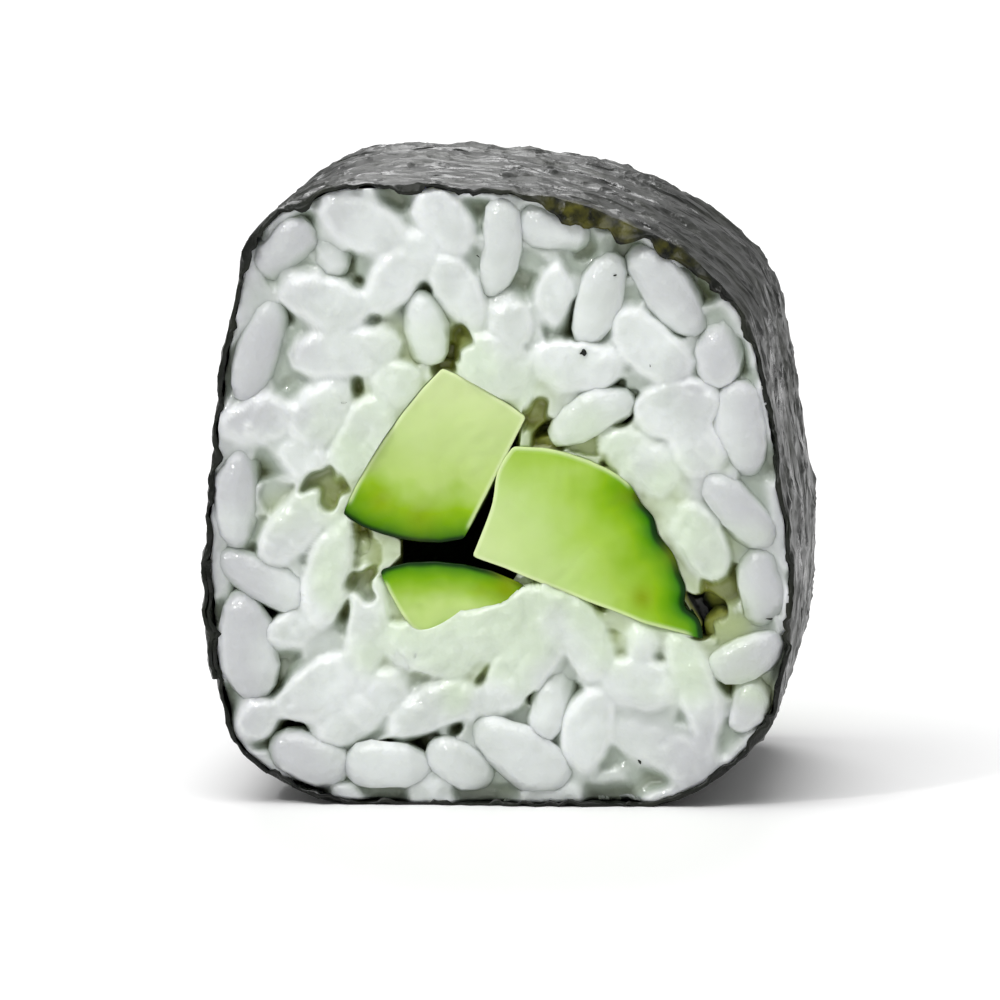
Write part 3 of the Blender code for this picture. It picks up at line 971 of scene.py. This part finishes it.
def make_core(angles, outer):
    """The core as one closed grid: front face, channel, back face, and the outside under the sheet."""
    ray = rays(angles)
    front, *front_marks = core_faces["front"]
    back, *back_marks = core_faces["back"]
    inside = [
        placed(CHANNEL_CENTRE + channel(angles, share)[:, None] * ray, (2 * share - 1) * CUT_Y)
        for share in CHANNEL_STATIONS[1:-1]
    ]
    centre = CHANNEL_CENTRE + outer[:, None] * ray
    tucked = CHANNEL_CENTRE + (outer - UNDER_RIM)[:, None] * ray
    under = [placed(centre, CUT_Y - 0.9), placed(tucked, CUT_Y - 1.8)]
    under += [placed(tucked, 1.8 - CUT_Y), placed(centre, 0.9 - CUT_Y)]
    rows = np.concatenate([front[::-1], inside, back, under])
    marks = {}
    deep = np.array(CHANNEL_STATIONS[1:-1])
    deep = 2 * CUT_Y * np.minimum(deep, 1 - deep)[:, None]
    # In the channel the depth paints the rice near black as shade; under the sheet the edge paints it grey as
    # shade.
    in_channel, under_sheet = (deep, 1.0, 0.0, 0.0), (0.2, 0.0, 1.0, 0.0)
    for key, one, two, within, beneath in zip(
        ("depth", "green", "edge", "rim"), front_marks, back_marks, in_channel, under_sheet
    ):
        channel_marks = np.broadcast_to(within, (len(inside), CORE_COLUMNS))
        under_marks = np.full((len(under), CORE_COLUMNS), beneath)
        marks[key] = np.concatenate([one[::-1], channel_marks, two, under_marks])
    return mesh_piece("rice_core", rows.reshape(-1, 3), ring_faces(*rows.shape[:2]), marks)


rice_core = make_core(core_angles, to_wall)

# %% [markdown]
# ## Crumbs of nori
#
# The knife carries a few crumbs of seaweed over the rice. Each is a tiny flat oval, set on the surface
# that the grains make.

# %% Crumbs on the cut faces
CRUMBS = 8  # on each face
CRUMB_ROWS, CRUMB_COLUMNS = 5, 10
CRUMB_SIZE = (0.05, 0.15)
CRUMB_THICKNESS = 0.035


def crumb_places(rng, side):
    """Places on the rice of one face, at least half a millimetre from the sheet and the cucumber."""
    places = rng.uniform(wall.min(axis=0), wall.max(axis=0), (400, 2))
    free = beyond(wall, places)[0] < -0.5
    for rim in [*stick_rims[side].values(), STICK_GAP]:
        free &= beyond(rim, places)[0] > 0.5
    return places[free][:CRUMBS]


def face_depth(places, side):
    """Depth of the rice's surface at places on a face: where the nearest grain begins."""
    smeared = np.zeros_like(crowds[side]["clear"])
    distance, _ = melted(places, {**crowds[side], "clear": smeared})
    return press_flat(first_depth(distance, distance)[0])


def make_crumbs():
    """All crumbs as one piece of flat ovals: rows run from tip to tip and columns round them."""
    rng = np.random.default_rng(14)
    share = -np.cos(np.linspace(0.0, np.pi, CRUMB_ROWS + 2))
    turn = np.linspace(0.0, 2 * np.pi, CRUMB_COLUMNS, endpoint=False)
    points, faces = [], []
    for side, sign in SIDES.items():
        places = crumb_places(rng, side)
        heading = rng.uniform(0, np.pi, len(places))
        along = rays(heading)
        across = np.stack([-along[:, 1], along[:, 0]], axis=1)
        size = rng.uniform(*CRUMB_SIZE, (len(places), 1, 1))
        narrow = rng.uniform(0.5, 0.9, (len(places), 1, 1))
        width = np.sqrt(1 - share**2)[None, :, None] * np.cos(turn) * narrow
        flat = places[:, None, None] + size[..., None] * (
            share[None, :, None, None] * along[:, None, None] + width[..., None] * across[:, None, None]
        )
        flat = flat + 0.05 * np.stack([ripples(flat, 0.3, 15 + k) for k in range(2)], axis=-1)
        thick = CRUMB_THICKNESS * np.sqrt(1 - share**2)[None, :, None] * np.sin(turn)
        depth = face_depth(places, side)[:, None, None] - 0.01 + thick
        shape = np.stack([flat[..., 0], sign * (CUT_Y - depth), flat[..., 1]], axis=-1)
        crumbs, listed = closed_ovals(shape, points, sign < 0)
        faces += listed
        points.append(crumbs)
    return mesh_piece("nori_crumbs", np.vstack(points), faces)


nori_crumbs = make_crumbs()

# %% [markdown]
# ## The seaweed sheet
#
# The sheet is wound once round and laps its own start low on the left. So it is a band: one parameter runs
# along the winding, the other along the roll. The knife leaves its cut edges wavy, with small jags, and
# has torn a stretch of the front edge, which curls over the rice.

# %% The sheet's winding
LAP = 5.5  # how far the free edge runs over the sheet's start
LAP_RISE = (7.0, 5.0)  # before the free edge the sheet climbs on to its own start between these
FREE_EDGE_HEIGHT = 0.20 * 29.0  # a fifth of the way up
base = closed_curve(nori_rims[1], 900)
on_left = np.where(base[:, 0] < 0, np.abs(base[:, 1] - FREE_EDGE_HEIGHT), np.inf)
base = np.roll(base, -int(on_left.argmin()), axis=0)
around = run_along(base)[-1]
print("the sheet is", round(around + LAP, 1), "mm long before it is wound")

# %% The wound sheet
SHEET_COLUMNS = 460
SHEET_ROWS = 88
# A torn stretch of the front edge that curls over the rice: the middle and half width of the stretch,
# across the roll, and how far it comes in and forwards.
CURL_MIDDLE, CURL_HALF, CURL_IN, CURL_OUT = 6.0, 3.5, 0.85, 0.42
WAVY, JAGGED = 0.11, 0.07  # how far the cut edges stray from a straight line, in long waves and jags
FRAYED = 0.28  # elsewhere the cut edge is pressed in over the rice by at most this much


def make_sheet():
    """The sheet as a closed band: the outside from its start to its free edge, then the inside back
    again, carried from the back cut to the front one, and closed by the two cut edges."""
    winding = np.linspace(-LAP, around, SHEET_COLUMNS)
    section = at_distance(base, winding)
    length = run_along(base)
    normal = np.stack(
        [np.interp(np.mod(winding, around), length, np.append(n, n[0])) for n in outward(base).T], axis=1
    )
    climb = smooth_step(winding, around - LAP_RISE[0], around - LAP_RISE[1]) * (SHEET_THICKNESS + 0.02)
    along = np.concatenate([np.linspace(CUT_Y, 0.6 - CUT_Y, SHEET_ROWS), np.linspace(0.5 - CUT_Y, -CUT_Y, 6)])
    torn = np.exp(-(((section[:, 0] - CURL_MIDDLE) / CURL_HALF) ** 4)) * (section[:, 1] > 15)
    ragged = 0.62 + 0.35 * ripples(section, 2.2, 39) + 0.1 * ripples(section, 0.9, 40)
    torn = np.clip(torn * ragged, 0.0, 1.0)
    outside, inside, browns = [], [], []
    edge_wave = {
        side: WAVY * ripples(section, 5.0, 31 + sign) + JAGGED * ripples(section, 1.0, 35 + sign)
        for side, sign in SIDES.items()
    }
    frayed = smooth_step(ripples(section, 2.4, 44) + 0.6 * ripples(section, 0.7, 45), 0.1, 2.0) * (1 - torn)
    for y in along:
        share = (y + CUT_Y) / (2 * CUT_Y)
        shift = edge_wave["back"] * share**6 + edge_wave["front"] * (1 - share) ** 6
        places = placed(section, y + shift)
        over = torn * smooth_step(-y, CUT_Y - 0.40, CUT_Y)
        lift = climb + relief(places) - CURL_IN * over
        lift -= FRAYED * frayed * smooth_step(np.abs(y), CUT_Y - 0.35, CUT_Y)
        places[:, 1] -= CURL_OUT * torn * smooth_step(-y, CUT_Y - 1.4, CUT_Y - 0.25)
        thick = SHEET_THICKNESS + 0.05 * ripples(places, 1.1, 38)
        outside.append(places + placed(normal * (SHEET_OUT + lift)[:, None], 0.0))
        inside.append(places + placed(normal * (SHEET_OUT + lift - thick)[:, None], 0.0))
        browns.append(torn * smooth_step(-y, CUT_Y - 1.2, CUT_Y - 0.2))
    outside, inside = np.array(outside), np.array(inside)[:, ::-1]
    outside[..., 2] = np.maximum(outside[..., 2], 0.0)
    inside[..., 2] = np.maximum(inside[..., 2], SHEET_THICKNESS / 2)
    rows = np.concatenate([outside, inside], axis=1)
    columns = rows.shape[1]
    faces = tube_faces(len(rows), columns).tolist()
    for row, turned in ((0, False), (len(rows) - 1, True)):
        out = row * columns + np.arange(SHEET_COLUMNS)
        back = row * columns + columns - 1 - np.arange(SHEET_COLUMNS)
        cap = np.stack([out[:-1], back[:-1], back[1:], out[1:]], axis=-1).tolist()
        faces += [face[::-1] for face in cap] if turned else cap
    brown = np.concatenate([np.array(browns), np.array(browns)[:, ::-1]], axis=1)
    return mesh_piece("nori_sheet", rows.reshape(-1, 3), faces, {"brown": brown})


nori_sheet = make_sheet()

# %% [markdown]
# ## The cucumber sticks
#
# Each stick is a quarter or less of a cucumber, cut lengthwise, so it has pale flesh, a dark skin on one
# side, and between them a band of brighter green. A section carried along the roll gives the sides, and
# shrinking copies of it close the two cut ends. Every point keeps its distance to the skin, so that one
# colour scale can run from skin to flesh over the ends and down the sides.

# %% Skin and spots
# Where the skin begins and ends on each stick's section.
SKIN_ENDS = {
    "cucumber_top": ((-7.05, 13.40), (-1.45, 12.25)),
    "cucumber_right": ((9.75, 7.75), (6.95, 14.55)),
    "cucumber_bottom": ((2.35, 9.70), (-5.35, 11.00)),
}
# A cut side that is close under the skin, so that its flesh is bright: its ends, and how far the skin is.
BRIGHT_SIDE = {"cucumber_right": (((6.95, 14.55), (4.6, 16.0), (1.0, 16.9)), 2.3)}
# Olive spots: across, up, radius and strength.
SPOTS = {
    "cucumber_top": ((-5.2, 14.1, 0.55, 0.6), (-3.4, 13.3, 0.7, 0.5)),
    "cucumber_right": ((6.85, 9.7, 0.5, 0.9), (6.1, 14.4, 0.6, 0.5), (8.1, 11.6, 0.6, 0.35)),
    "cucumber_bottom": ((0.6, 10.1, 0.7, 0.9), (-0.6, 10.0, 0.4, 0.4)),
}


def skin_of(name, section):
    """The stretch of a stick's section that is skin, from one of its ends to the other."""
    first, last = (int(np.linalg.norm(section - end, axis=1).argmin()) for end in SKIN_ENDS[name])
    count = (last - first) % len(section) + 1
    return np.roll(section, -first, axis=0)[:count]


def marks_at(name, places):
    """Strength of the olive spots that seeds and fibres leave in the flesh: a sum of soft bumps."""
    spots = np.array(SPOTS[name])
    squared = ((places[:, None] - spots[None, :, :2]) ** 2).sum(axis=-1)
    return np.minimum((spots[:, 3] * np.exp(-squared / spots[:, 2] ** 2)).sum(axis=1), 1.0)


top_skin = skin_of("cucumber_top", stick_sections["front"]["cucumber_top"])
print("the top stick has", run_along(top_skin)[-2].round(1), "mm of skin")


# %% The sticks
END_RINGS = 20
STICK_STATIONS = 12
END_ROUNDING = 0.09  # radius of a cut end's edge
END_SUNK = 0.15  # a stick's ends lie this far behind the cut
END_UNEVEN, END_GRAINY = 0.04, 0.012  # broad and fine lumps of a cut end
# A painted highlight: a pale line along each cut end's edge.
PAINTED_EDGE_HIGHLIGHT = (0.06, 0.24)  # the pale line along a cut end's edge lies within the first, and ends at the second


def end_rings(section, side, seed):
    """Rings that close a cut end, from its edge to its middle. The edge is rounded over by a quarter
    circle, and the face is a little uneven."""
    middle = section.mean(axis=0)
    inwards = unit(middle - section)
    rounding = np.linspace(0.0, np.pi / 2, 4)[1:]
    rings = [
        (section + inwards * END_ROUNDING * (1 - np.cos(a)), END_ROUNDING * (1 - np.sin(a))) for a in rounding
    ]
    rim = rings[-1][0]
    for share in np.linspace(0.0, 1.0, END_RINGS)[1:] ** 1.6:
        rings.append((middle + (rim - middle) * (1 - share * 0.995), 0.0))
    made = []
    for places, behind in rings:
        uneven = END_UNEVEN * ripples(places, 3.0, seed) + END_GRAINY * ripples(places, 0.8, seed + 1)
        made.append(placed(places, SIDES[side] * (CUT_Y - END_SUNK - behind + uneven)))
    return made


def make_stick(name, seed):
    """A stick as a closed grid: the front end from its middle out, the sides, and the back end inwards."""
    front, back = (stick_sections[side][name] for side in SIDES)
    shares = np.linspace(0.0, 1.0, STICK_STATIONS)
    reach_y = CUT_Y - END_SUNK - END_ROUNDING
    sides = [placed(front * (1 - s) + back * s, (2 * s - 1) * reach_y) for s in shares]
    rows = np.array([*end_rings(front, "front", seed)[::-1], *sides, *end_rings(back, "back", seed + 2)])
    drift = (back - front).mean(axis=0) / (2 * CUT_Y)
    flat = rows[..., [0, 2]] - (rows[..., 1:2] + CUT_Y) * drift
    flat = flat.reshape(-1, 2)
    depth = to_line(flat, skin_of(name, front))
    if name in BRIGHT_SIDE:
        line, below = BRIGHT_SIDE[name]
        depth = np.minimum(depth, to_line(flat, np.array(line)) * 1.3 + below)
    columns, last = rows.shape[1], rows.shape[0] * rows.shape[1] - 1
    faces = tube_faces(*rows.shape[:2])[:, ::-1].tolist()
    faces.append(list(range(columns)))
    faces.append(list(range(last, last - columns, -1)))
    # painted highlight along the cut end's edge, stored as rim, and kept off the skin
    rim = 1 - smooth_step(to_line(flat, np.vstack([front, front[:1]])), *PAINTED_EDGE_HIGHLIGHT)
    marks = {"skin": depth, "spot": marks_at(name, flat), "rim": rim * smooth_step(depth, 0.4, 0.8)}
    return mesh_piece(name + "_stick", rows.reshape(-1, 3), faces, marks)


sticks = {name: make_stick(name, 61 + 5 * k) for k, name in enumerate(STICKS)}


# %% [markdown]
# ## Finishes
#
# Every finish is a Principled shader. Its colour follows the numbers that the mesh's points carry, and
# noise on Object coordinates breaks the colour up and gives the bump. Object coordinates are in metres, so
# patterns have a true size: a noise scale of 1 / (0.5 mm) gives features of about half a millimetre.

# %% Start a finish
def new_finish(name, roughness, **sockets):
    """A material with its Principled shader, and the shader's constant sockets set."""
    made = bpy.data.materials.new(name)
    made.use_nodes = True
    shader = made.node_tree.nodes["Principled BSDF"]
    shader.inputs["Roughness"].default_value = roughness
    for socket, value in sockets.items():
        shader.inputs[socket.replace("_", " ")].default_value = value
    return made, made.node_tree, shader


def noise(tree, size_mm, detail=3.0, stretch=(1.0, 1.0, 1.0), roughness=0.5, kind="FBM"):
    """A noise texture on Object coordinates with features of about that size, drawn out along axes whose
    stretch is above 1."""
    where = tree.nodes.new("ShaderNodeTexCoord")
    mapping = tree.nodes.new("ShaderNodeMapping")
    mapping.inputs["Scale"].default_value = [1.0 / s for s in stretch]
    made = tree.nodes.new("ShaderNodeTexNoise")
    made.noise_type = kind
    made.inputs["Scale"].default_value = 1.0 / (size_mm * MM)
    made.inputs["Detail"].default_value = detail
    made.inputs["Roughness"].default_value = roughness
    tree.links.new(where.outputs["Object"], mapping.inputs["Vector"])
    tree.links.new(mapping.outputs["Vector"], made.inputs["Vector"])
    return made.outputs["Fac"]


def attribute(tree, name):
    """The numbers that a mesh's points carry under that name."""
    made = tree.nodes.new("ShaderNodeAttribute")
    made.attribute_name = name
    return made.outputs["Fac"]


print("features of 0.5 mm take a noise scale of", round(1.0 / (0.5 * MM)))


# %% Colours from numbers
def linear(*srgb):
    """Linear colour from sRGB numbers out of 255."""
    values = np.array(srgb) / 255
    return tuple(np.where(values <= 0.04045, values / 12.92, ((values + 0.055) / 1.055) ** 2.4).tolist())


def ramp(tree, value, stops, kind="LINEAR"):
    """Colours along a scale from 0 to 1: stops are pairs of a place and a linear colour."""
    made = tree.nodes.new("ShaderNodeValToRGB")
    made.color_ramp.interpolation = kind
    elements = made.color_ramp.elements
    while len(elements) < len(stops):
        elements.new(0.5)
    for element, (place, colour) in zip(elements, stops):
        element.position = place
        element.color = (*colour, 1.0)
    tree.links.new(value, made.inputs["Fac"])
    return made.outputs["Color"]


def remap(tree, value, low, high, to_low=0.0, to_high=1.0):
    """A number carried from one range to another, and held at its ends."""
    made = tree.nodes.new("ShaderNodeMapRange")
    for socket, number in zip(("From Min", "From Max", "To Min", "To Max"), (low, high, to_low, to_high)):
        made.inputs[socket].default_value = number
    tree.links.new(value, made.inputs["Value"])
    return made.outputs["Result"]


def sums(tree, operation, *values):
    """A math node over sockets and numbers."""
    made = tree.nodes.new("ShaderNodeMath")
    made.operation = operation
    for socket, value in zip(made.inputs, values):
        if isinstance(value, (int, float)):
            socket.default_value = value
        else:
            tree.links.new(value, socket)
    return made.outputs[0]


def mix(tree, share, first, second):
    """Mixes two colours by a share. Each is a socket or a linear colour."""
    made = tree.nodes.new("ShaderNodeMix")
    made.data_type = "RGBA"
    tree.links.new(share, made.inputs["Factor"])
    for socket, value in ((made.inputs[6], first), (made.inputs[7], second)):
        if isinstance(value, tuple):
            socket.default_value = (*value, 1.0)
        else:
            tree.links.new(value, socket)
    return made.outputs[2]


print("a mid grey of 128 is", round(linear(128)[0], 3), "in linear light")


# %% Relief from numbers
def bump(tree, shader, height, depth_mm, strength=1.0, socket="Normal"):
    """Gives the shader's surface, or its coat, a bump from a height that runs from 0 to 1 over that many
    millimetres, and says how deep it is."""
    made = tree.nodes.new("ShaderNodeBump")
    made.inputs["Strength"].default_value = strength
    made.inputs["Distance"].default_value = depth_mm * MM
    tree.links.new(height, made.inputs["Height"])
    tree.links.new(made.outputs["Normal"], shader.inputs[socket])
    print("a bump of", depth_mm, "mm goes into", socket)


# %% [markdown]
# ## Rice
#
# Cooked rice isn't painted white. Light goes a little way in and comes out again, which a share of
# subsurface scattering gives, and a thin film of starch water shines on top, which is a coat with a bump
# of its own. A plain white surface with a gloss would look like plaster. The mesh's four numbers paint
# shade on the rice beside the sheet, make it greener beside the cucumber, paint a highlight on the
# grains' flanks, and paint shade deep in the creases, olive and then near black in the deepest places.

# %% Rice finish
def rice_finish(name):
    """Moist white rice that lets light a little way in, with painted shade deep between the grains and beside
    the sheet, and a painted highlight on the grains' flanks.
    """
    made, tree, shader = new_finish(
        name, 0.30, Subsurface_Weight=0.45, Subsurface_Scale=0.6 * MM, IOR=1.4, Coat_Weight=0.6,
        Coat_Roughness=0.07,
    )
    shader.inputs["Subsurface Radius"].default_value = (1.0, 1.0, 0.8)
    cloudy = noise(tree, 2.2, 2.0)
    white = ramp(tree, cloudy, ((0.3, linear(206, 212, 207)), (0.7, linear(225, 230, 228))))
    # Painted shade: greyer rice beside the sheet, from the edge numbers
    white = mix(tree, attribute(tree, "edge"), white, linear(193, 195, 197))
    # Painted highlight: whiter on the grains' flanks, from the rim numbers
    white = mix(tree, sums(tree, "MULTIPLY", attribute(tree, "rim"), 0.45), white, linear(246, 249, 248))
    green = attribute(tree, "green")
    tinted = mix(tree, sums(tree, "MULTIPLY", green, 0.4), white, linear(196, 220, 168))
    # Painted shade: the deeper the rice lies behind the cut, the darker it is painted, grey in creases, olive
    # in holes and open creases, near black in the channel between the sticks.
    painted_crease_shade = mix(tree, green, linear(170, 180, 168), linear(164, 178, 122))
    hole = mix(tree, green, linear(128, 138, 104), linear(148, 154, 66))
    depth = attribute(tree, "depth")
    colour = mix(tree, remap(tree, depth, 0.12, 0.55), tinted, painted_crease_shade)
    colour = mix(tree, remap(tree, depth, 0.60, 1.20), colour, hole)
    colour = mix(tree, remap(tree, depth, 1.3, 2.4), colour, linear(12, 22, 3))
    tree.links.new(colour, shader.inputs["Base Color"])
    bump(tree, shader, noise(tree, 0.7, 4.0), 0.13, 1.0)
    bump(tree, shader, noise(tree, 0.5, 2.0), 0.14, 1.0, "Coat Normal")
    return made


rice = rice_finish("moist rice")
rice_grains.data.materials.append(rice)
rice_core.data.materials.append(rice)

# %% [markdown]
# ## Nori
#
# Dried seaweed is pressed into a sheet like paper: black with some green, uneven in thickness, and with a
# gloss that rough patches break. Noise gives the blotches. Its sharp wrinkles are the places where a
# noise crosses its middle value, so the height is worked out from the distance to that value. The torn
# stretch shows brown through the same attribute that bent it.

# %% Nori finish
def nori_finish():
    """Black-green dried seaweed: sharp wrinkles, a gloss broken by rougher patches, and brown where torn."""
    made, tree, shader = new_finish("nori", 0.3, IOR=1.34)
    blotches = noise(tree, 2.0, 4.0, (1.0, 1.8, 1.0))
    folds = noise(tree, 4.5, 3.0, (1.3, 1.0, 1.3), 0.5)
    off_crest = sums(tree, "ABSOLUTE", sums(tree, "SUBTRACT", folds, 0.5))
    green = ramp(
        tree,
        blotches,
        ((0.32, linear(9, 11, 8)), (0.52, linear(17, 21, 14)), (0.72, linear(34, 37, 27))),
    )
    brown = mix(tree, remap(tree, noise(tree, 0.9, 3.0), 0.4, 0.6), linear(84, 82, 24), linear(16, 18, 7))
    tree.links.new(mix(tree, attribute(tree, "brown"), green, brown), shader.inputs["Base Color"])
    tree.links.new(remap(tree, blotches, 0.3, 0.7, 0.22, 0.46), shader.inputs["Roughness"])
    fibres = noise(tree, 0.45, 3.0, (1.0, 2.0, 1.0))
    crests = remap(tree, off_crest, 0.0, 0.2, 1.0, 0.0)
    height = sums(tree, "ADD", crests, sums(tree, "MULTIPLY", fibres, 0.25))
    bump(tree, shader, height, 0.36, 1.0)
    return made


nori = nori_finish()
nori_sheet.data.materials.append(nori)
nori_crumbs.data.materials.append(nori)

# %% [markdown]
# ## Cucumber
#
# A cut cucumber is dark at the skin, bright green just under it, and paler towards the heart. Painting
# that on a flat face would take an image. Here the colour scale runs over each point's distance to the
# skin, so it follows the curve of the skin by itself, and a slow noise makes the bands wander. Each stick
# has a scale of its own, because each was cut from another depth.

# %% Cucumber finish
FLESH_SPAN = 8.0  # millimetres that the colour scale covers, from the skin inwards


def cucumber_finish(name, stops):
    """Cucumber from skin to heart along the distance to the skin, with soft streaks in the flesh and a
    painted highlight along the cut ends' edges.
    """
    made, tree, shader = new_finish(
        name, 0.26, Subsurface_Weight=0.2, Subsurface_Scale=0.3 * MM, IOR=1.33, Specular_IOR_Level=0.3,
    )
    shader.inputs["Subsurface Radius"].default_value = (0.7, 1.0, 0.35)
    skin = attribute(tree, "skin")
    wander = remap(tree, noise(tree, 2.0, 2.0), 0.3, 0.7, -0.28, 0.28)
    inwards = sums(tree, "ADD", skin, sums(tree, "MULTIPLY", wander, sums(tree, "MINIMUM", skin, 1.9)))
    inwards = sums(tree, "DIVIDE", inwards, FLESH_SPAN)
    scale = tuple((mm / FLESH_SPAN, linear(*colour)) for mm, colour in stops)
    flesh = ramp(tree, inwards, scale)
    flesh = mix(tree, attribute(tree, "spot"), flesh, linear(128, 150, 4))
    # Painted highlight: a pale line along the cut ends' edges, from the rim numbers
    flesh = mix(tree, sums(tree, "MULTIPLY", attribute(tree, "rim"), 0.6), flesh, linear(226, 238, 190))
    tree.links.new(flesh, shader.inputs["Base Color"])
    bump(tree, shader, noise(tree, 0.35, 3.0), 0.03, 0.5)
    return made


# %% Each stick's flesh
FLESH = {
    "cucumber_top": (
        (0.0, (8, 30, 0)), (0.14, (16, 52, 0)), (0.30, (66, 116, 0)), (0.75, (104, 152, 0)),
        (1.5, (142, 182, 22)), (2.6, (180, 206, 114)), (4.6, (191, 213, 138)), (7.4, (204, 221, 158)),
    ),
    "cucumber_right": (
        (0.0, (6, 34, 0)), (0.20, (12, 58, 0)), (0.36, (58, 124, 0)), (0.75, (102, 158, 0)),
        (1.4, (136, 180, 16)), (3.0, (166, 200, 80)), (5.0, (186, 213, 128)), (7.8, (202, 222, 154)),
    ),
    "cucumber_bottom": (
        (0.0, (8, 36, 0)), (0.14, (18, 64, 0)), (0.30, (80, 140, 0)), (0.70, (122, 170, 14)),
        (1.3, (154, 190, 66)), (2.2, (188, 213, 126)), (5.0, (204, 223, 156)),
    ),
}
for name, stops in FLESH.items():
    sticks[name].data.materials.append(cucumber_finish(name + " flesh", stops))
    print(name, "runs through", len(stops), "colours")

# %% [markdown]
# ## Handing the pieces to the frame
#
# Each piece rides on the roll's one body and stands for the imported solid that it dresses, which is hidden.

# %% Ride and replace
for piece, node, slot in (
    (rice_grains, "rice", "rice"),
    (rice_core, "rice", "rice"),
    (nori_sheet, "nori", "nori"),
    (nori_crumbs, "nori", "nori"),
    *((sticks[name], name, "cucumber") for name in STICKS),
):
    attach(piece, "root")
    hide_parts(node)
    print(piece.name, "stands for", node)

# %% [markdown]
# ## Floor, light and camera
#
# A white floor runs off to a white surround, so the floor has no far edge. One broad light from
# above, a little to the left, gives the grains their shape. A narrow one from the upper left puts sparkles
# on what is wet, a third from behind brings out the sheet's wrinkles, and the surround fills the shadows.
# The camera is low and a little to the right, with a long lens, as is usual for food on a table.

# %% Floor
FLOOR_HALF = 1500.0
corners = np.array(((-1, -1, 0), (1, -1, 0), (1, 1, 0), (-1, 1, 0))) * FLOOR_HALF
floor = mesh_piece("floor", corners, [[0, 1, 2, 3]])
white, _, white_shader = new_finish("white floor", 0.6)
white_shader.inputs["Base Color"].default_value = (0.93, 0.93, 0.93, 1.0)
floor.data.materials.append(white)


# %% Light
def facing(made, place, aim):
    """Puts a light or camera at a place in millimetres, facing another, and adds it to the scene."""
    made.location = Vector(place) * MM
    made.rotation_euler = (Vector(place) - Vector(aim)).to_track_quat("Z", "Y").to_euler()
    bpy.context.scene.collection.objects.link(made)
    return made


def soft_sun(name, away, spread, power):
    """A sun that shines from a direction. A wide spread makes its shadows as soft as a large lamp's."""
    lamp = bpy.data.lights.new(name, "SUN")
    lamp.angle = np.radians(spread)
    lamp.energy = power
    facing(bpy.data.objects.new(name, lamp), np.array(away) * 300.0, (0, 0, 0))


# Each sun's direction from the roll, how wide it is in degrees, and its power.
for name, away, spread, power in (
    ("key", (-0.17, -0.33, 0.92), 56, 1.85),
    ("sparkle", (-0.45, -0.55, 0.70), 5, 0.60),
    ("sheen", (-0.10, 0.80, 0.60), 26, 0.8),
):
    soft_sun(name, away, spread, power)
    print("the", name, "light is", spread, "degrees wide")

# %% White surround
SURROUND_LIGHT = 0.44  # how brightly it lights the roll; the camera sees it as plain white
world = bpy.data.worlds.new("white surround")
world.use_nodes = True
surround = world.node_tree
seen = surround.nodes.new("ShaderNodeLightPath").outputs["Is Camera Ray"]
strength = surround.nodes.new("ShaderNodeMapRange")
strength.inputs["To Min"].default_value = SURROUND_LIGHT
strength.inputs["To Max"].default_value = 1.0
surround.links.new(seen, strength.inputs["Value"])
surround.links.new(strength.outputs["Result"], surround.nodes["Background"].inputs["Strength"])
surround.nodes["Background"].inputs["Color"].default_value = (1.0, 1.0, 1.0, 1.0)
bpy.context.scene.world = world
bpy.context.scene.view_settings.view_transform = "Standard"
print("the surround lights with", SURROUND_LIGHT)

# %% Camera
AZIMUTH, ELEVATION, DISTANCE = 4.1, 6.3, 480.0
LOOK_AT = (0.3, -12.5, 14.2)
VIEW_WIDTH = 46.0  # how wide the view is at the cut face, in millimetres
turn, rise = np.radians((AZIMUTH, ELEVATION))
back = np.array((np.sin(turn) * np.cos(rise), -np.cos(turn) * np.cos(rise), np.sin(rise)))
lens = bpy.data.cameras.new("camera")
lens.sensor_width = 36.0
lens.lens = lens.sensor_width * DISTANCE / VIEW_WIDTH
lens.clip_start = 0.01
place = np.array(LOOK_AT) + back * DISTANCE
bpy.context.scene.camera = facing(bpy.data.objects.new("camera", lens), place, LOOK_AT)
print("lens", round(lens.lens), "mm")
